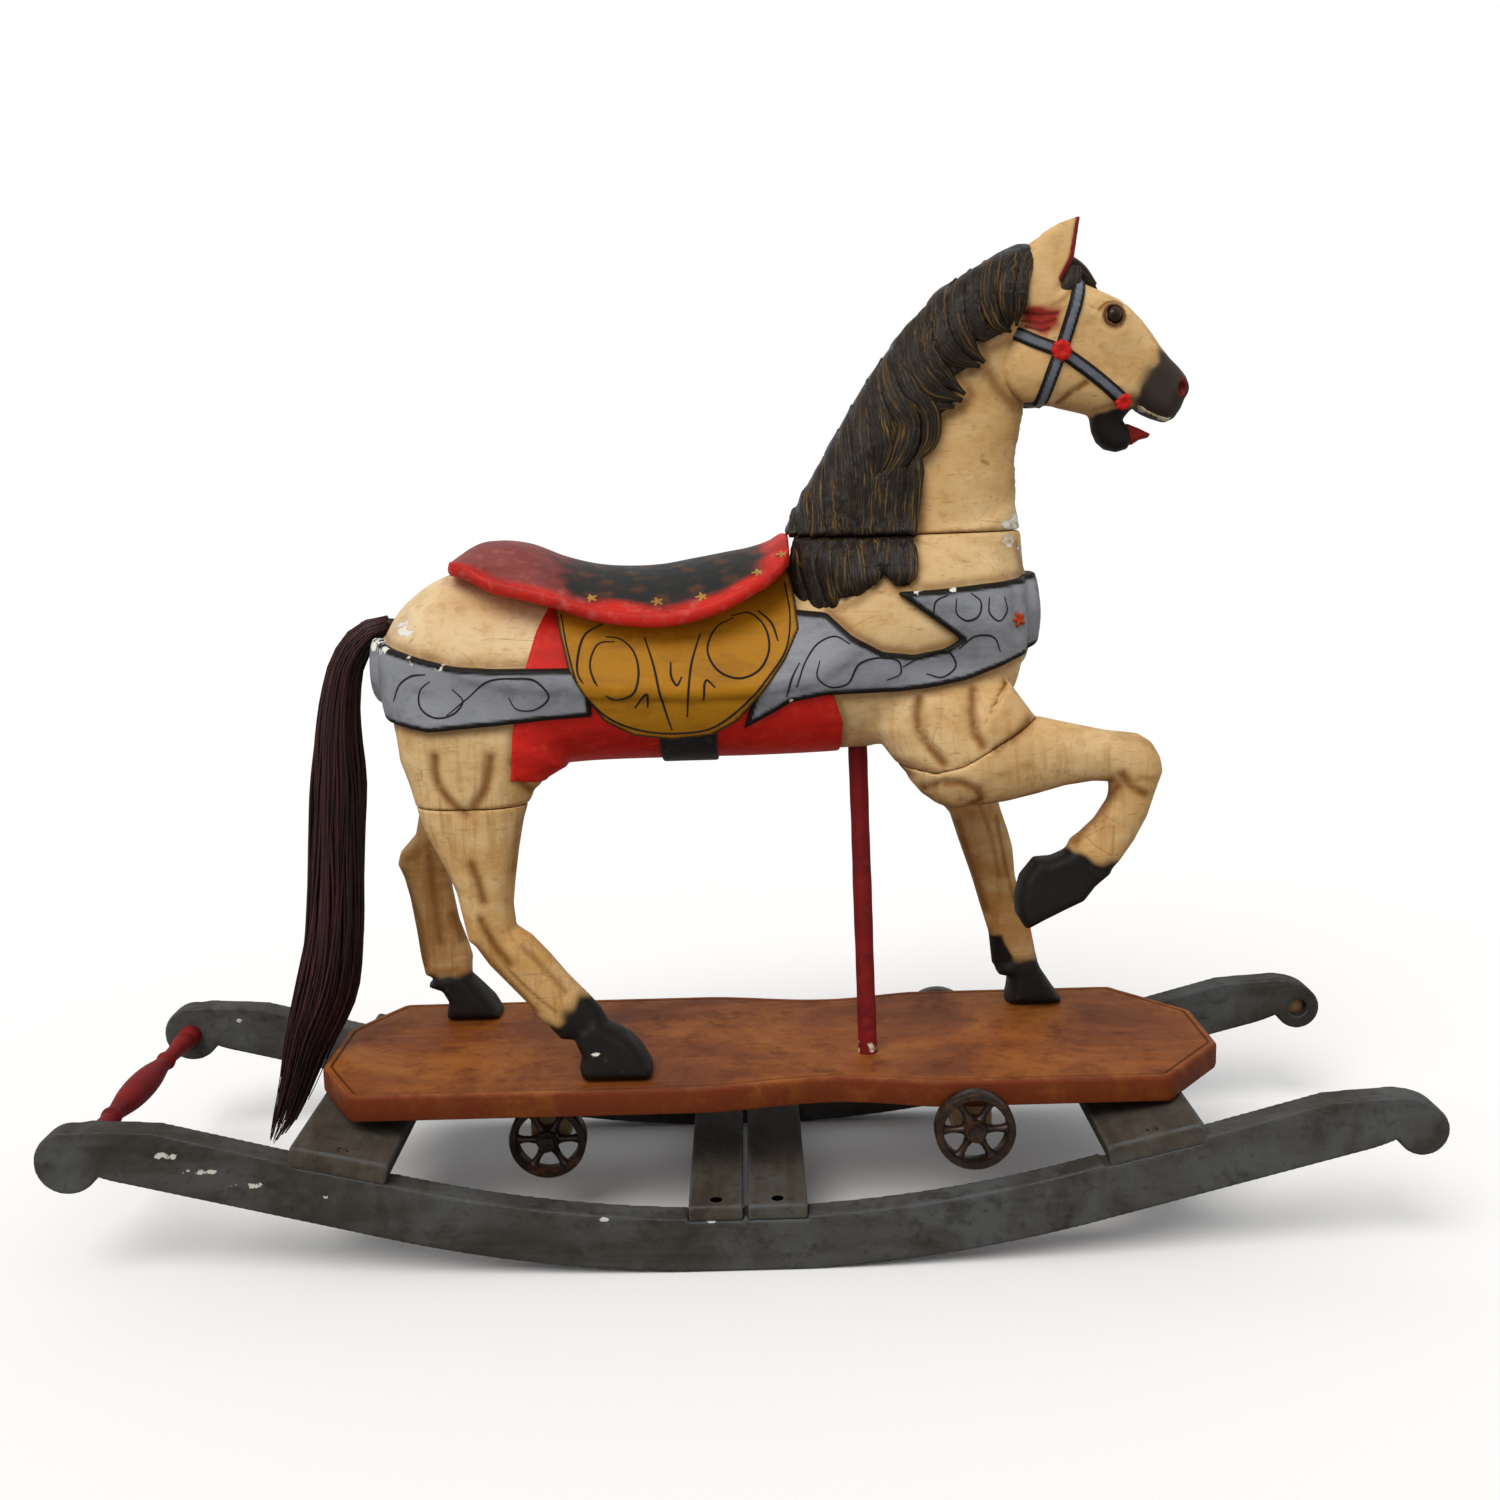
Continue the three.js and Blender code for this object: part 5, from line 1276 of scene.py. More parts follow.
def petals(centre, out, radius, notch, height, count):
    """Low rosette of petals facing `out`."""
    out = out / np.linalg.norm(out)
    first = np.cross(out, [0.0, 0.0, 1.0])
    first /= np.linalg.norm(first)
    second = np.cross(out, first)
    turn = np.linspace(0, 2 * np.pi, 10 * count, endpoint=False)
    lobe = radius - notch * 0.5 * (1 - np.cos(count * turn))
    rings = []
    for scale, rise in ((0.98, -1.0), (1.0, 0.25 * height), (0.86, 0.8 * height), (0.45, height),
                        (0.2, 0.6 * height)):
        spread = scale * lobe if scale > 0.5 else scale * radius * np.ones_like(turn)
        rings.append(centre
                     + spread[:, None] * (np.cos(turn)[:, None] * first
                                          + np.sin(turn)[:, None] * second)
                     + out * rise)
    return ring_skin(rings)


# Saddle seat: [x, lower edge, top, half width]
SEAT = [
    [-287, 702, 707, 50], [-283, 699, 714, 66], [-276, 698, 720, 76], [-262, 694, 728, 86],
    [-240, 683, 731, 96], [-208, 675, 727, 103], [-173, 666, 713, 109], [-138, 654, 704, 113],
    [-100, 647, 701, 115], [-70, 645, 702, 115], [-38, 649, 707, 115], [-2, 660, 713, 111],
    [26, 674, 718, 104], [44, 684, 724, 96], [58, 697, 731, 86], [63, 703, 730, 74],
]
RIM = 14.0


def saddle():
    """Carved seat with a red rolled rim, from cross sections along its length."""
    rows = spline(SEAT, 130, keys=1)
    rings = []
    for x, low, top, half in rows:
        rim = min(RIM, 0.8 * (top - low))
        steps = np.linspace(1, -1, 61)
        crown = np.maximum(top - low - rim, 0) * (1 - np.abs(steps) ** 2.2)
        arch = [(s * (half - 6), low + rim - 0.8 + c) for s, c in zip(steps, crown)]
        bead = [(half - 3, low), (half + 0.4, low + 0.12 * rim), (half + 1.6, low + 0.5 * rim),
                (half + 0.6, low + 0.85 * rim), (half - 2.2, low + rim + 0.6), (half - 4.6, low + rim + 0.4)]
        ring = bead + arch + [(-y, z) for y, z in bead[::-1]]
        rings.append([(x, y, z) for y, z in ring])
    vertices, faces = ring_skin(rings)
    faces = [face[::-1] for face in faces]
    seat = build("saddle_seat_carved", vertices, faces, "horse_platform", ["saddle_seat"])
    paint(seat, "saddle_paint")
    x, y, z = vertices.T
    half = np.interp(x, rows[:, 0], rows[:, 3])
    inward = half - np.abs(y) + 5 * ripple(x, y, z, 14.0, 2)
    dark = smooth_step(inward, 9, 20) * smooth_step(x + 14 * ripple(x, y, z, 10.0, 8), -205, -150)
    dark = dark * (1 - smooth_step(x + 12 * ripple(x, y, z, 12.0, 9), 22, 52))
    maroon = smooth_step(inward, 5, 14) * (1 - smooth_step(x, -190, -130))
    colour = np.array(SADDLE_RED) * np.ones((len(x), 1))
    colour += (np.array([0.17, 0.062, 0.056]) - colour) * (0.85 * maroon)[:, None]
    patch = smooth_step(ripple(x, y, z, 9.0, 4), 0.15, 0.6)[:, None]
    top = np.array(SADDLE_TOP) * (1 - 0.5 * patch) + np.array([0.10, 0.045, 0.016]) * 0.5 * patch
    colour += (top - colour) * dark[:, None]
    tint(seat, colour)
    mark(seat, "chip", 0.32 * (1 - smooth_step(np.abs(half - np.abs(y)), 2, 6)))
    mark(seat, "stain", np.zeros(len(x)))
    parts = []
    for x0, inset in ((-137, 17), (-71, 20), (-26, 16), (31, 15), (56, 14)):
        for sign in (-1, 1):
            low, top, half = (np.interp(x0, rows[:, 0], rows[:, k]) for k in (1, 2, 3))
            across = (half - inset) / (half - 6)
            height = low + RIM - 0.8 + (top - low - RIM) * (1 - across**2.2)
            slope = (top - low - RIM) * 2.2 * across**1.2 / (half - 6)
            out = np.array([0.0, sign * slope, 1.0])
            parts.append(petals(np.array([x0, sign * (half - inset), height - 0.3]), out, 7.2, 4.4, 1.0, 5))
    vertices, faces = merge(parts)
    paint(build("saddle_flowers", vertices, faces, "horse_platform"), "yellow_paint")


def bridle(grid, field):
    x, z = grid.side()
    for name, node, path, sides, rise in (
            ("crown_strap", "bridle_crown_strap", CROWN_STRAP, 0, 4.0),
            ("cheek_strap_right", "bridle_cheek_strap_right", CHEEK_STRAP, -1, 3.4),
            ("cheek_strap_left", "bridle_cheek_strap_left", CHEEK_STRAP, 1, 3.4),
            ("throat_strap", None, THROAT_STRAP, 0, 3.4)):
        run = spline(path, 40)
        flat = line_distance(x, z, run) - 7.0
        mask = np.maximum(flat[:, None, :], 5 - sides * grid.y) if sides else flat[:, None, :]
        shape = np.maximum(soft_max(field - rise, mask, 2.0), -(field + 3))
        vertices, quads = surface(shape, grid)
        vertices = relax(vertices, quads, 1)
        piece = build(name, vertices, quads, "horse_platform", [node] if node else ())
        paint(piece, "blue_grey_paint")
        away = line_distance(vertices[:, 0], vertices[:, 2], run)
        rim = smooth_step(away, 2.6, 3.8)[:, None]
        tint(piece, np.array((0.14, 0.155, 0.19)) * (1 - rim) + np.array(BLACK_PAINT) * rim)
        mark(piece, "chip", np.zeros(len(vertices)))
        mark(piece, "stain", np.zeros(len(vertices)))
    for place, (cx, cz, radius) in {"temple": (341, 907, 11.0), "bit": (408, 856, 9.5)}.items():
        for side, sign in (("right", -1), ("left", 1)):
            y = float(drape(field, grid, float(cx), float(cz), sign, 3.0)[0])
            out = facing(field, grid, np.array([[cx, y, cz]], float))[0]
            out = out + np.array([0, 2.0 * sign, 0])
            vertices, faces = petals(np.array([cx, y, cz], float), out, radius, 1.2, 5.0, 8)
            piece = build(f"rosette_{place}_{side}_carved", vertices, faces, "horse_platform",
                          [f"rosette_{place}_{side}"])
            paint(piece, "red_paint")


# ------------------------------------------------------------------ mane and tail
MANE_SIDE = [
    (190, 728.5), (194, 764), (191, 786), (196, 815), (208, 838), (232, 858), (226, 880), (252, 896),
    (252, 918), (290, 929), (302, 955), (312, 1000), (326, 1040), (0, 1040), (0, 728.5),
]
MANE_LOW_SIDE = [
    (189, 727.5), (187, 700), (183, 679), (174, 676), (153, 693), (144, 677), (128, 666), (115, 669),
    (104, 657), (95, 650), (80, 640), (75, 655), (67, 690), (62, 727.5),
]
# Back silhouette of the mane, closed along the front
MANE_CREST = [
    (330, 1014), (316, 1018), (303, 1018), (284, 1010), (264, 998), (245, 988), (225, 970), (204, 955),
    (187, 934), (169, 914), (148, 886), (128, 854), (104, 813), (84, 780), (59, 734), (50, 700),
    (40, 600), (330, 600), (345, 900), (336, 990),
]
# Locks of the upper mane: [side path from crest to tip, half width, height]
LOCKS = [
    [[(150, 886), (143, 860), (140, 820), (142, 775), (140, 729)], 12, 6],
    [[(133, 860), (126, 835), (124, 795), (125, 729)], 11, 6],
    [[(119, 836), (112, 812), (109, 775), (110, 729)], 11, 6],
    [[(103, 808), (97, 785), (94, 729)], 10, 5.5], [[(88, 782), (82, 762), (80, 729)], 9, 5],
    [[(73, 756), (70, 745), (69, 729)], 7, 4.5], [[(160, 800), (157, 765), (155, 729)], 11, 6],
    [[(176, 815), (171, 770), (168, 729)], 11, 6], [[(196, 815), (189, 770), (183, 729)], 9, 6],
    [[(165, 906), (156, 880), (158, 845), (161, 812), (150, 779)], 14, 8],
    [[(180, 922), (170, 900), (172, 868), (186, 836), (178, 806), (154, 778)], 14, 9],
    [[(192, 930), (184, 908), (192, 875), (208, 845), (205, 818), (186, 797)], 11, 9],
    [[(199, 945), (184, 915), (185, 882), (202, 860), (232, 854)], 13, 9],
    [[(214, 958), (198, 930), (196, 895), (210, 872), (240, 860)], 14, 11],
    [[(229, 972), (213, 945), (208, 912), (220, 886), (243, 866)], 12, 11],
    [[(243, 984), (226, 962), (222, 928), (233, 904), (258, 893)], 13, 11],
    [[(257, 992), (243, 968), (238, 936), (246, 912), (263, 897)], 13, 12],
    [[(272, 1000), (258, 976), (253, 945), (262, 925), (280, 926)], 12, 11],
    [[(290, 1008), (274, 985), (268, 955), (276, 932), (290, 927)], 12, 11],
    [[(306, 1012), (292, 990), (284, 958), (288, 930)], 11, 10],
    [[(316, 1010), (305, 990), (298, 958), (296, 932)], 9, 9],
]
LOW_LOCKS = [
    [[(70, 727), (70, 691), (76, 665), (78, 642)], 9, 4.5],
    [[(84, 727), (84, 690), (90, 668), (94, 652)], 10, 5],
    [[(99, 727), (100, 690), (104, 672), (107, 659)], 10, 5],
    [[(114, 727), (114, 690), (118, 669)], 10, 5], [[(129, 727), (130, 692), (131, 670)], 10, 5],
    [[(144, 727), (145, 700), (145, 681)], 10, 5], [[(158, 727), (156, 705), (155, 695)], 10, 5],
    [[(171, 727), (170, 698), (171, 680)], 10, 5], [[(182, 727), (183, 698), (180, 682)], 8, 5],
]


def lock(path, width, height, base, grid, sign, seed, blunt, tip, around=44, rings=28, strands=9):
    """One carved lock: a ridged, tapered band laid over the mane. Returns its skin and colours."""
    rng = np.random.default_rng(seed)
    run = spline(path, rings)
    y = drape(base, grid, run[:, 0], run[:, 1], sign, -2.0)
    spots = np.column_stack([run[:, 0], y, run[:, 1]])
    for _ in range(4):
        spots[1:-1, 1] = 0.5 * spots[1:-1, 1] + 0.25 * (spots[:-2, 1] + spots[2:, 1])
    out = facing(base, grid, spots)
    tangent = np.gradient(spots, axis=0)
    tangent /= np.linalg.norm(tangent, axis=1)[:, None]
    across = np.cross(tangent, out)
    across /= np.linalg.norm(across, axis=1)[:, None]
    t = np.linspace(0, 1, rings)
    taper = 0.15 + 0.85 * smooth_step(t, 0, 0.28)
    if tip:
        taper = taper * (1 - 0.55 * smooth_step(t, 0.80, 1.0) ** 1.5)
    if not blunt:
        taper = taper * (1 - 0.82 * smooth_step(t, 0.66, 1.0) ** 1.5)
    turn = np.linspace(0, 2 * np.pi, around, endpoint=False)
    length = np.linalg.norm(np.diff(run, axis=0), axis=1).sum()
    gold = rng.uniform(0, 1, 40)
    wander = rng.uniform(0, 6)
    skin, colours, comb = [], [], []
    for k in range(rings):
        swirl = 0.45 * math.sin(2.6 * t[k] + wander)
        phase = strands * (np.cos(turn) + 0.35 * swirl)
        ridge = 0.5 + 0.5 * np.cos(2 * phase)
        lift = 1 - 0.13 * (1 - ridge) * np.clip(np.sin(turn) + 0.2, 0, 1)
        u = width * taper[k] * np.cos(turn)
        v = height * taper[k] ** 0.8 * np.sin(turn) * lift
        skin.append(spots[k] + u[:, None] * across[k] + v[:, None] * out[k])
        strand = (np.floor(phase / math.pi + 0.5).astype(int) + 20) % len(gold)
        streak = smooth_step(gold[strand], 0.45, 0.75)
        along = 0.5 + 0.5 * np.sin(7 * t[k] + 30 * gold[strand])
        glow = streak * along * smooth_step(ridge, 0.45, 0.9) * smooth_step(t[k], 0.02, 0.25)
        shade = np.array([0.027, 0.020, 0.014]) * (0.30 + 0.70 * ridge[:, None])
        colours.append(shade + glow[:, None] * (np.array([0.20, 0.105, 0.024]) - shade))
        sideways = width * (np.cos(turn) + 0.35 * swirl)
        own = np.full(around, 7.0 * (seed % 97))
        comb.append(np.column_stack([sideways, np.full(around, length * t[k]), own]))
    vertices, faces = ring_skin(skin)
    if np.dot(np.cross(across[0], out[0]), tangent[0]) > 0:
        faces = [face[::-1] for face in faces]
    return (vertices, faces), np.vstack(colours), np.vstack(comb)


def forelock():
    """Short tuft that falls over the brow between the ears."""
    parts, colours, combs = [], [], []
    around = 28
    for k, (path, y, width) in enumerate((
            ([(322, 990), (342, 996), (362, 990), (382, 973)], -13, 10),
            ([(320, 990), (344, 998), (366, 990), (386, 968)], 0, 11),
            ([(322, 990), (342, 996), (362, 990), (382, 973)], 13, 10),
            ([(356, 990), (354, 979), (346, 967), (333, 957)], -30, 11),
            ([(356, 990), (354, 979), (346, 967), (333, 957)], 30, 11))):
        run = spline(path, 26)
        t = np.linspace(0, 1, 26)
        spots = np.column_stack([run[:, 0], y * (1 + 0.2 * t), run[:, 1]])
        parts.append(tube(spots, width * (0.75 + 0.25 * np.sin(math.pi * t)) * (1 - 0.7 * t**3),
                          around, 0.8))
        ridge = np.tile(np.linspace(0, 2 * np.pi, around, endpoint=False), 26)
        glow = np.clip(np.sin(7 * ridge + k), 0, 1)[:, None] * 0.3
        colours.append(np.array([0.022, 0.017, 0.013]) + glow * np.array([0.14, 0.08, 0.02]))
        combs.append(np.column_stack([
            ridge * width, np.repeat(np.linspace(0, 60, 26), around), np.full(26 * around, 50.0 + 3 * k)]))
    return parts, colours, combs


def mane():
    grid = Grid((40, -124, 620), (352, 124, 1052), 2.8)
    poll = limb(grid, [[288, 955, 0, 50, 40], [312, 972, 0, 40, 34], [330, 982, 0, 30, 26]])
    field = even(soft_min(soft_min(barrel(grid), limb(grid, NECK), 26), poll, 10), grid)
    x, z = grid.side()
    for name, node, outline, sides, locks in (
            ("mane_upper_carved", "mane_upper", MANE_SIDE, (-1, 1), LOCKS),
            ("mane_lower_carved", "mane_lower", MANE_LOW_SIDE, (-1,), LOW_LOCKS)):
        lower = name == "mane_lower_carved"
        mask = outline_distance(x, z, outline)[:, None, :]
        if lower:
            mask = np.maximum(mask, grid.y + 30)
        crest = outline_distance(x, z, MANE_CREST)[:, None, :] + 1.0 + 0.008 * grid.y**2
        base = even(soft_max(field - 9.5, crest, 8), grid)
        shape = np.maximum(soft_max(base, mask, 5), -(base + 13.5))
        ragged = smooth_step(grid.y, 0, 25) * (22 + 9 * np.sin(0.36 * grid.x))
        shape = np.maximum(shape, grid.z - 727.6) if lower else np.maximum(shape, 728.3 + ragged - grid.z)
        vertices, quads = surface(shape, grid)
        parts = [(relax(vertices, quads, 1), quads.tolist())]
        colours = [np.tile([0.014, 0.011, 0.008], (len(vertices), 1))]
        combs = [np.column_stack([vertices[:, 0] + 0.25 * vertices[:, 2], vertices[:, 2],
                                  0.2 * vertices[:, 1]])]
        for sign in sides:
            for k, (path, width, height) in enumerate(locks):
                blunt = lower or (path[-1][1] == 729 and sign < 0)
                if sign > 0 and path[-1][1] == 729:
                    path = path[:-1] + [(path[-1][0], 731 + 6 * (k % 3))]
                part, shade, comb = lock(path, width, height, base, grid, sign, 31 * k + 7 + sign,
                                         blunt, lower)
                parts.append(part)
                colours.append(shade)
                combs.append(comb)
        if not lower:
            tuft, shades, tuft_combs = forelock()
            parts += tuft
            colours += shades
            combs += tuft_combs
        vertices, faces = merge(parts)
        piece = build(name, vertices, faces, "horse_platform", [node])
        paint(piece, "dark_hair")
        tint(piece, np.vstack(colours))
        layer = piece.data.attributes.new("comb", "FLOAT_VECTOR", "POINT")
        layer.data.foreach_set("vector", np.vstack(combs).astype(np.float32).ravel())


TAIL_CORE = [
    [-350, 645, 0, 8, 8], [-372, 644, 0, 10, 9], [-392, 631, 0, 15, 14], [-409, 607, 0, 17, 18],
    [-419, 572, 0, 20, 20], [-425, 530, 0, 24, 23], [-428, 480, 0, 29, 26], [-433, 420, 0, 29, 27],
    [-438, 360, 0, 30, 27], [-445, 300, 0, 32, 27], [-457, 245, 0, 34, 26], [-481, 185, 0, 27, 22],
    [-500, 130, 0, 20, 17], [-516, 92, 0, 14, 11], [-530, 66, 0, 5, 4],
]


STRANDS = 300


def tail():
    """Hair tail: a solid core hidden under curved strands."""
    path = spline(TAIL_CORE, 60)
    tangent = np.gradient(path[:, :2], axis=0)
    tangent /= np.linalg.norm(tangent, axis=1)[:, None]
    centre = np.column_stack([path[:, 0], path[:, 2], path[:, 1]])
    out = np.column_stack([tangent[:, 1], np.zeros(60), -tangent[:, 0]])
    parts = []
    shades = []
    turn = np.linspace(0, 2 * np.pi, 20, endpoint=False)
    shrink = 0.72 * (1 - 0.5 * smooth_step(np.linspace(0, 1, 60), 0.75, 1.0))
    rings = [c + s * (d * np.cos(turn)[:, None] * o + w * np.sin(turn)[:, None] * np.array([0, 1, 0]))
             for c, s, d, w, o in zip(centre, shrink, path[:, 3], path[:, 4], out)]
    vertices, faces = ring_skin(rings[:56])
    parts.append((vertices, faces))
    shades.append(np.ones(len(vertices)))
    for _ in range(STRANDS):
        angle = RNG.uniform(0, 2 * np.pi)
        reach = RNG.uniform(0.62, 1.0)
        length = RNG.uniform(0.80, 1.0)
        t = np.linspace(0.02, length, 28)
        at = t * 59
        low = np.minimum(at.astype(int), 58)
        f = (at - low)[:, None]
        c = centre[low] * (1 - f) + centre[low + 1] * f
        o = out[low] * (1 - f) + out[low + 1] * f
        depth = (path[low, 3:5] * (1 - f) + path[low + 1, 3:5] * f)
        spin = angle + 0.5 * np.sin(3 * t + RNG.uniform(0, 6)) * RNG.uniform(0.2, 1)
        spread = reach * (1 + 0.06 * np.sin(9 * t + RNG.uniform(0, 6)))
        gather = 0.86 + 0.10 * np.cos(4 * spin + 2 * t)
        spread = spread * (0.95 + 0.5 * (gather - 0.9))
        spots = c + (depth[:, :1] * (spread * np.cos(spin))[:, None] * o
                     + depth[:, 1:] * (spread * np.sin(spin))[:, None] * np.array([0, 1, 0]))
        thick = RNG.uniform(1.2, 2.1) * (1 - 0.7 * smooth_step(t / length, 0.6, 1.0))
        part = tube(spots, thick, 5)
        parts.append(part)
        shades.append(np.full(len(part[0]), RNG.choice([0.0, 0.0, 0.3, 0.7])))
    vertices, faces = merge(parts)
    piece = build("tail_hair", vertices, faces, "horse_platform", ["tail"])
    paint(piece, "horse_hair")
    mark(piece, "shade", np.concatenate(shades))


# ------------------------------------------------------------------ rockers and platform
ROCKER_OUTER = 200.0
ROCKER_THICK = 30.0
ROCKER_DEPTH = 58.0
ROCKER_RADIUS = 1450.0
FLAT_HALF = 60.0
SOLE_ANGLE = math.radians(14.4)
TAIL_X = 618.0
KNOB_REAR = (-674.0, 134.0, 33.0)
KNOB_FRONT = (680.0, 131.0, 26.0)
BOARD_LOW = 146.3
BOARD_TOP = 174.0
BOARD_HALF = 145.0
SLAT_SLOPE = math.radians(13)


def arc(centre_x, centre_z, radius, start, end, count=40):
    turn = np.radians(np.linspace(start, end, count))
    return [(centre_x + radius * math.cos(t), centre_z + radius * math.sin(t)) for t in turn]


def bend(start, control, end, count=12):
    t = np.linspace(0, 1, count)[:, None]
    start, control, end = (np.array(p, float) for p in (start, control, end))
    return [tuple(p) for p in (1 - t) ** 2 * start + 2 * t * (1 - t) * control + t**2 * end]


def rocker_outline():
    """Side outline of a bow rocker: arc sole with a flat in the middle and a knob at each end."""
    start = math.asin(FLAT_HALF / ROCKER_RADIUS)
    turns = np.linspace(start, SOLE_ANGLE, 26)
    sole = [(ROCKER_RADIUS * math.sin(t), ROCKER_RADIUS * (math.cos(start) - math.cos(t))) for t in turns]
    top = [(x - ROCKER_DEPTH * math.sin(t), z + ROCKER_DEPTH * math.cos(t)) for (x, z),
           t in zip(sole, turns)]
    straight_x, straight_z = sole[-1]
    tail_z = straight_z + (TAIL_X - straight_x) * math.tan(SOLE_ANGLE)
    rise = (600 - straight_x) * math.tan(SOLE_ANGLE)
    shoulder = straight_z + rise + ROCKER_DEPTH * math.cos(SOLE_ANGLE) + 2
    shoulder_x = 600 - ROCKER_DEPTH * math.sin(SOLE_ANGLE)
    points = sole + bend((TAIL_X, tail_z), (636, tail_z + 4), (655.3, 123))
    points += arc(*KNOB_FRONT, 198, 410)
    points += (bend((696.7, 151), (684, 166), (655, 168))
               + bend((655, 168), (630, 167), (shoulder_x, shoulder)))
    points += top[::-1] + [(-x, z) for x, z in top]
    points += [(-shoulder_x, shoulder)] + bend((-shoulder_x, shoulder), (-630, 167), (-655, 168))
    points += arc(*KNOB_REAR, 80, 332)
    points += bend((-644.9, 118.5), (-632, tail_z + 3), (-TAIL_X, tail_z)) + [(-x, z) for x, z in sole[::-1]]
    tidy = [points[0]]
    for point in points[1:]:
        if math.dist(point, tidy[-1]) > 0.5:
            tidy.append(point)
    return tidy


def wear(piece, vertices, quads, bare=(), damp=()):
    """Rubbed arrises, bare chips and dark patches of the painted timber."""
    x, y, z = vertices.T
    ridge = np.clip(-hollows(vertices, quads, 4), 0, 1.2)
    mark(piece, "chip", 0.52 * smooth_step(ridge, 0.2, 1.0))
    raw = np.zeros(len(x))
    for cx, cy, cz, rx, ry, rz in bare:
        reach = np.sqrt(((x - cx) / rx) ** 2 + ((y - cy) / ry) ** 2 + ((z - cz) / rz) ** 2)
        raw = np.maximum(raw, 0.69 * (1 - smooth_step(reach, 0.4, 1.3)))
    mark(piece, "bare", raw)
    dark = np.zeros(len(x))
    for cx, cy, cz, rx, ry, rz in damp:
        reach = np.sqrt(((x - cx) / rx) ** 2 + ((y - cy) / ry) ** 2 + ((z - cz) / rz) ** 2)
        dark = np.maximum(dark, 0.8 * (1 - smooth_step(reach, 0.5, 1.2)))
    mark(piece, "stain", dark)


def slat_top(x, centre_x):
    outward = math.copysign(1, centre_x)
    edge = centre_x + outward * 50 * math.cos(SLAT_SLOPE)
    return BOARD_LOW - 0.3 - outward * (edge - x) * math.tan(SLAT_SLOPE)


def rockers():
    outline = rocker_outline()
    for side, sign in (("right", -1), ("left", 1)):
        low, high = sorted((sign * (ROCKER_OUTER - ROCKER_THICK), sign * ROCKER_OUTER))
        grid = Grid((-712, low - 4, -5), (712, high + 4, 176), 2.3)
        x, z = grid.side()
        flat = outline_distance(x, z, outline)
        middle = (low + high) / 2
        field = soft_max(flat[:, None, :], np.abs(grid.y - middle) - ROCKER_THICK / 2, 3.0)
        bore = np.hypot(x - KNOB_FRONT[0], z - KNOB_FRONT[1])[:, None, :] - 11
        reach = 12 - sign * (grid.y - sign * (ROCKER_OUTER - ROCKER_THICK))
        field = np.maximum(field, -np.maximum(bore, -reach))
        for centre_x in (-402, 412):
            under = np.abs(grid.x - centre_x) - 50
            field = np.maximum(field, -np.maximum(under, slat_top(grid.x, centre_x) - 21.7 - grid.z))
        field = np.maximum(field, -np.maximum(np.abs(grid.x + 28.5) - 28.0, 54.7 - grid.z))
        field = np.maximum(field, -np.maximum(np.abs(grid.x - 34.0) - 30.5, 54.7 - grid.z))
        vertices, quads = surface(field, grid)
        piece = build(f"rocker_{side}_painted", vertices, quads, "rocker_base",
                      [f"rocker_{side}"])
        paint(piece, "rocker_paint")
        bare = [
            (-574, -200, 140, 24, 12, 8), (-545, -200, 122, 36, 12, 6), (-495, -200, 106, 36, 12, 6),
            (-590, -185, 150, 22, 20, 4), (-32, -200, 56, 14, 8, 5), (-140, -200, 60, 10, 10, 4),
            (-418, -200, 92, 6, 10, 4),
        ] if sign < 0 else [(-560, 200, 140, 24, 12, 5), (-610, 172, 150, 20, 12, 5)]
        wear(piece, vertices, quads, bare)
        rows = [(0.3, 0.02), (0.3, 10.6), (-1.2, 10.6), (-1.2, 0.02)]
        spot = (KNOB_FRONT[0], sign * (ROCKER_OUTER - ROCKER_THICK + 11.6), KNOB_FRONT[1])
        vertices, faces = lathe([(h * sign * -1, r) for h, r in rows], (0, 1, 0), spot, 28)
        if sign < 0:
            faces = [face[::-1] for face in faces]
        raw = build(f"socket_floor_{side}", vertices, faces, "rocker_base")
        paint(raw, "bare_wood")


def plank(name, corner_low, corner_high, node, pivot=None, turn=0.0, bevel=1.6,
          material="slat_paint", bare=()):
    """Sawn board between two corners, with softened and worn arrises."""
    grid_step = 2.6
    low, high = np.array(corner_low, float), np.array(corner_high, float)
    grid = Grid(low - 4, high + 4, grid_step)
    middle, half = (low + high) / 2, (high - low) / 2
    offsets = [np.abs(grid.x - middle[0]) - half[0], np.abs(grid.y - middle[1]) - half[1],
               np.abs(grid.z - middle[2]) - half[2]]
    field = soft_max(soft_max(offsets[0], offsets[1], bevel), offsets[2], bevel)
    vertices, quads = surface(field, grid)
    if turn:
        c, s = math.cos(turn), math.sin(turn)
        dx, dz = vertices[:, 0] - pivot[0], vertices[:, 2] - pivot[1]
        vertices[:, 0], vertices[:, 2] = pivot[0] + c * dx + s * dz, pivot[1] - s * dx + c * dz
    piece = build(name, vertices, quads, "rocker_base", [node])
    paint(piece, material)
    wear(piece, vertices, quads, bare)


def slats():
    """Four cross slats: the outer two slope to carry the board, the middle two lie level."""
    run = 50 * math.cos(SLAT_SLOPE)
    level = BOARD_LOW - 0.3
    edge = -402 - run
    plank("slat_rear_painted", (edge, -200, level - 22), (edge + 100, 200, level), "slat_rear",
          (edge, level), SLAT_SLOPE)
    edge = 412 + run
    plank("slat_front_painted", (edge - 100, -200, level - 22), (edge, 200, level), "slat_front",
          (edge, level), -SLAT_SLOPE)
    plank("slat_middle_rear_painted", (-56, -200, 55), (-1, 200, 71), "slat_middle_rear")
    plank("slat_middle_front_painted", (4, -200, 55), (64, 200, 71), "slat_middle_front")


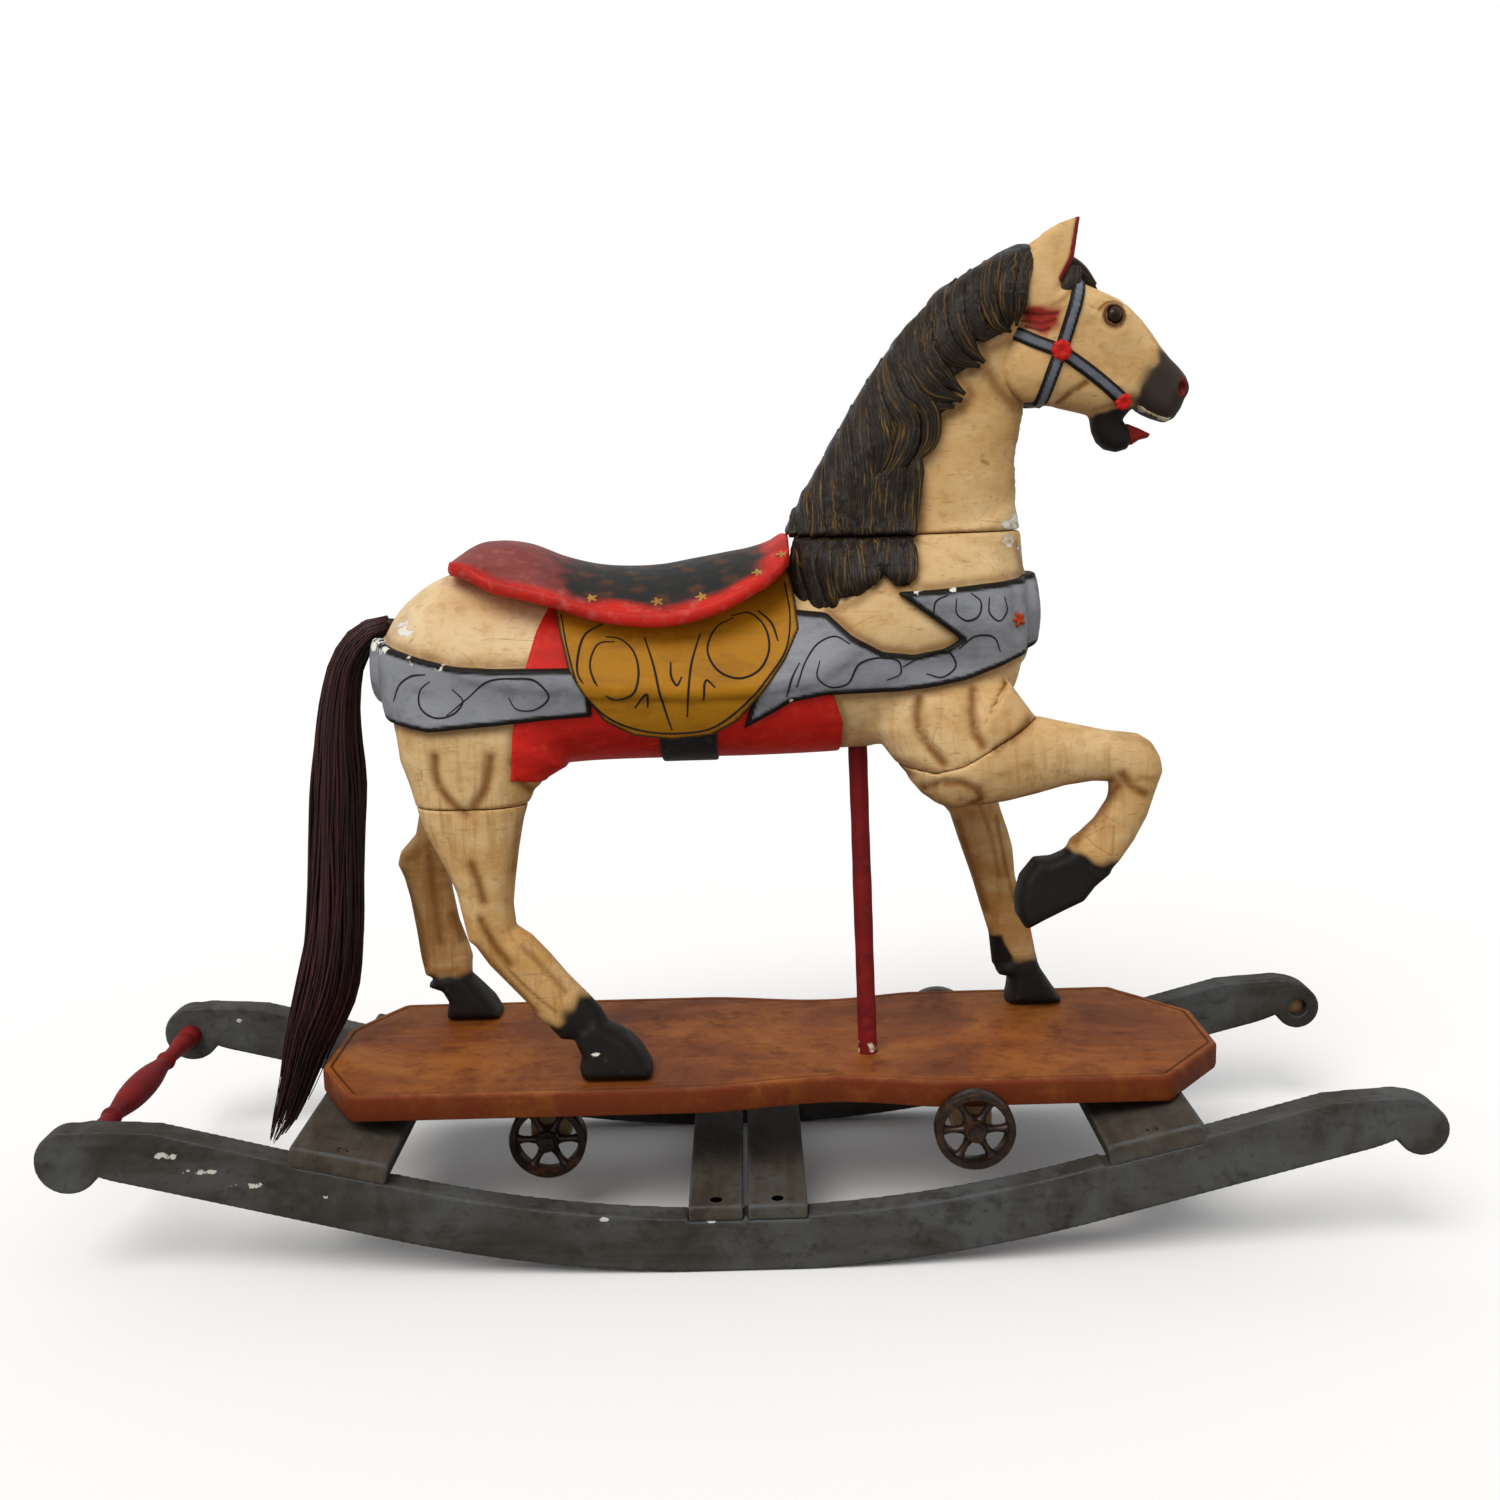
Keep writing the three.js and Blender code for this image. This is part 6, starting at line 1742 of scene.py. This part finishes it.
def board_outline():
    """Plan outline of the board, with clipped corners and a waist on each side."""
    near = bend((-449, 62), (-427, 104), (-405, 141), 6) + [(-398, 145)]
    near += [(x, 145.0) for x in np.linspace(-380, -60, 30)]
    for along in np.linspace(0, 1, 41):
        near.append((-45 + 250 * along, BOARD_HALF - 19 * math.sin(math.pi * along**1.2) ** 1.5))
    near += [(x, 145.0) for x in np.linspace(220, 430, 20)] + [(440, 144.2), (445, 140)]
    near += [tuple(p) for p in np.linspace((450, 133), (512, 57), 10)] + [(515, 50)]
    near = [(-452, 56)] + near
    return near + [(x, -y) for x, y in near[::-1]]


def board():
    """Pull-along board with rounded edges and a scribed groove near its rim."""
    rows = [
        (2.5, BOARD_LOW), (0.6, BOARD_LOW + 1), (0, BOARD_LOW + 3), (0, BOARD_TOP - 4.5),
        (0.7, BOARD_TOP - 1.6), (2.4, BOARD_TOP), (7.0, BOARD_TOP), (8.0, BOARD_TOP - 1.4),
        (9.6, BOARD_TOP - 1.4), (10.6, BOARD_TOP), (13, BOARD_TOP),
    ]
    rings = sweep_outline(board_outline(), rows)
    vertices, faces = ring_skin(rings)
    # The skin faces inwards if the outline runs clockwise.
    area = sum((a[0] * b[1] - b[0] * a[1]) for a, b in zip(rings[0], np.roll(rings[0], -1, axis=0)))
    if area < 0:
        faces = [face[::-1] for face in faces]
    piece = build("platform_board_painted", vertices, faces, "horse_platform",
                  ["platform_board"])
    paint(piece, "sienna_paint")
    count = len(rings[0])
    mark(piece, "chip", np.repeat([0.62, 0.62, 0.62, 0.62, 0.60, 0.44, 0.25, 0.0, 0.0, 0.2, 0.1], count))
    # The rim is darker towards its underside and dark in the scribed groove.
    mark(piece, "stain", np.repeat([0.5, 0.45, 0.30, 0.15, 0.0, 0.0, 0.0, 0.95, 0.95, 0.0, 0.0], count))
    mark(piece, "bare", np.zeros(len(vertices)))
    sharpen(piece, 40)


def wheel(name, x, outer, z, sign):
    """Cast wheel with a thick rim, six flared spokes and a round hub."""
    inner = sign * (outer - 20)
    width = 20 * sign
    turn = np.linspace(0, 2 * np.pi, 64, endpoint=False)

    def hoop(profile):
        rings = []
        for t in turn:
            radial = np.array([math.cos(t), 0, math.sin(t)])
            rings.append([np.array([x, inner + h * width, z]) + r * radial for r, h in profile])
        vertices, faces = ring_skin(rings, closed=True)
        return vertices, faces if sign > 0 else [f[::-1] for f in faces]

    rim = [(32.5, 0.12), (34, 0.0), (39.5, 0.0), (41, 0.1), (41, 0.9), (39.5, 1.0), (34, 1.0), (32.5, 0.88)]
    bore = [(5.4, -0.08), (10.5, -0.08), (12, 0.06), (12, 0.86), (10.5, 1.0), (5.4, 1.0)]
    parts = [hoop(rim), hoop(bore)]
    for k in range(6):
        angle = math.radians(60 * k)
        along = np.array([math.cos(angle), 0, math.sin(angle)])
        across = np.array([-math.sin(angle), 0, math.cos(angle)])
        centre = np.array([x, inner + width / 2, z])
        rings = []
        for r, w, h in ((10.8, 6.4, 6.5), (14, 4.6, 5.4), (20, 3.4, 4.6), (26, 3.6, 4.6), (31, 5.2, 5.4),
                        (34.5, 8, 6.5)):
            t = np.linspace(0, 2 * np.pi, 14, endpoint=False)[:, None]
            rings.append(centre + r * along + w * np.cos(t) * across + h * np.sin(t) * np.array([0, 1, 0]))
        vertices, faces = ring_skin(rings)
        parts.append((vertices, [f[::-1] for f in faces]))
    vertices, faces = merge(parts)
    piece = build(f"{name}_cast", vertices, faces, name, [name])
    paint(piece, "cast_iron")
    sharpen(piece, 40)


def wheels():
    for side, sign in (("right", -1), ("left", 1)):
        wheel(f"rear_wheel_{side}", -208.0, 100.0, 100.0, sign)
        wheel(f"front_wheel_{side}", 237.0, 172.0, 130.0, sign)


SPINDLE = [
    (0, 16), (14, 15.7), (26, 15), (38, 13.8), (50, 12), (62, 10.2), (72, 8.8), (76, 8.6), (78, 10.4),
    (82, 11.2), (86, 10.4), (88, 8.6), (96, 8.4), (108, 8.9), (120, 9.6), (132, 11), (140, 11.8),
    (145, 11), (148, 9.2), (151, 9.2), (154, 11.6), (158, 12.7), (166, 12.7), (169.6, 12.3),
]


def turned_parts():
    """Turned red bar between the rear knobs, and the pole from the board to the belly."""
    rows = [(-h, r) for h, r in SPINDLE[:0:-1]] + SPINDLE
    rows = [(-180.5, 0.02), (-180.5, 7.8), (-169.8, 7.8)] + rows + [
        (169.8, 7.8), (180.5, 7.8), (180.5, 0.02),
    ]
    vertices, faces = lathe(rows, (0, 1, 0), (KNOB_REAR[0], 0, KNOB_REAR[1]), 40)
    piece = build("rear_spindle_turned", vertices, faces, "rocker_base", ["rear_spindle"])
    paint(piece, "pole_paint")
    mark(piece, "chip", np.full(len(vertices), 0.15))
    sharpen(piece, 35)
    foot, head = np.array([137, -54, 162.0]), np.array([132.6, -17.6, 518.0])
    axis = (head - foot) / np.linalg.norm(head - foot)
    length = np.linalg.norm(head - foot)
    rows = [(0, 0.02), (0, 9.5)] + [
        (h, 10 + 0.18 * math.sin(h / 23) + 0.12 * math.sin(h / 7.3))
        for h in np.linspace(1, length - 1, 90)
    ] + [(length, 9.5), (length, 0.02)]
    vertices, faces = lathe(rows, axis, foot, 32)
    piece = build("support_pole_painted", vertices, faces, "horse_platform", ["support_pole"])
    paint(piece, "pole_paint")
    mark(piece, "chip", np.where((vertices[:, 2] < 190) & (vertices[:, 2] > 172), 0.75, 0.22))
    sharpen(piece, 50)


# ------------------------------------------------------------------ all the pieces
trunk()
neck()
hind_leg("right")
hind_leg("left")
foreleg_left()
foreleg_right()
HEAD_GRID, HEAD_FIELD = head()
bridle(HEAD_GRID, HEAD_FIELD)
eyes()
mouth()
harness()
saddle()
mane()
tail()
rockers()
slats()
board()
wheels()
turned_parts()

# Small hardware and hidden timber keep their CAD shapes.
for node_name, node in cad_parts.items():
    if any(word in node_name for word in ("screw", "bolt", "axle")):
        paint(node, "cast_iron")
    elif any(word in node_name for word in ("dowel", "bearer")):
        paint(node, "bare_wood")

# ------------------------------------------------------------------ floor, light and camera
floor_mesh = bpy.data.meshes.new("floor")
floor_mesh.from_pydata([(-40, -40, 0), (40, -40, 0), (40, 40, 0), (-40, 40, 0)], [], [(0, 1, 2, 3)])
floor = bpy.data.objects.new("floor", floor_mesh)
bpy.context.scene.collection.objects.link(floor)
white = bpy.data.materials.new("studio_white")
white.use_nodes = True
white_tree = white.node_tree
white_shader = white_tree.nodes["Principled BSDF"]
white_shader.inputs["Roughness"].default_value = 0.9
white_shader.inputs["Specular IOR Level"].default_value = 0.0
seen = white_tree.nodes.new("ShaderNodeLightPath")
floor_tone = white_tree.nodes.new("ShaderNodeMix")
floor_tone.data_type = "RGBA"
floor_tone.inputs[6].default_value = (0.34, 0.33, 0.32, 1)
floor_tone.inputs[7].default_value = (0.97, 0.97, 0.97, 1)
white_tree.links.new(seen.outputs["Is Camera Ray"], floor_tone.inputs[0])
white_tree.links.new(floor_tone.outputs[2], white_shader.inputs["Base Color"])
floor_mesh.materials.append(white)

world = bpy.data.worlds.new("studio")
bpy.context.scene.world = world
world.use_nodes = True
world_tree = world.node_tree
backdrop = world_tree.nodes["Background"]
backdrop.inputs["Color"].default_value = (1.0, 1.0, 1.0, 1)
world_seen = world_tree.nodes.new("ShaderNodeLightPath")
world_level = world_tree.nodes.new("ShaderNodeMapRange")
world_level.inputs["To Min"].default_value = 0.60
world_level.inputs["To Max"].default_value = 1.0
world_tree.links.new(world_seen.outputs["Is Camera Ray"], world_level.inputs["Value"])
world_tree.links.new(world_level.outputs["Result"], backdrop.inputs["Strength"])


def lamp(name, kind, towards, **settings):
    """Light that points along `towards`."""
    data = bpy.data.lights.new(name, kind)
    for key, value in settings.items():
        setattr(data, key, value)
    made = bpy.data.objects.new(name, data)
    made.rotation_mode = "QUATERNION"
    made.rotation_quaternion = Vector(towards).to_track_quat("-Z", "Y")
    bpy.context.scene.collection.objects.link(made)
    return made


lamp("sun", "SUN", (0.42, 0.80, -1.15), energy=1.85, angle=math.radians(38), color=(1.0, 0.975, 0.94))

camera_data = bpy.data.cameras.new("camera")
camera_data.lens = 38.4
camera_data.sensor_width = 36
camera = bpy.data.objects.new("camera", camera_data)
camera.matrix_world = (Matrix.Translation((0.018, -1.700, 0.799))
                       @ Matrix.Rotation(math.radians(80), 4, "X")
                       @ Matrix.Rotation(math.radians(-1.5), 4, "Z"))
bpy.context.scene.collection.objects.link(camera)
bpy.context.scene.camera = camera
bpy.context.scene.view_settings.view_transform = "Standard"
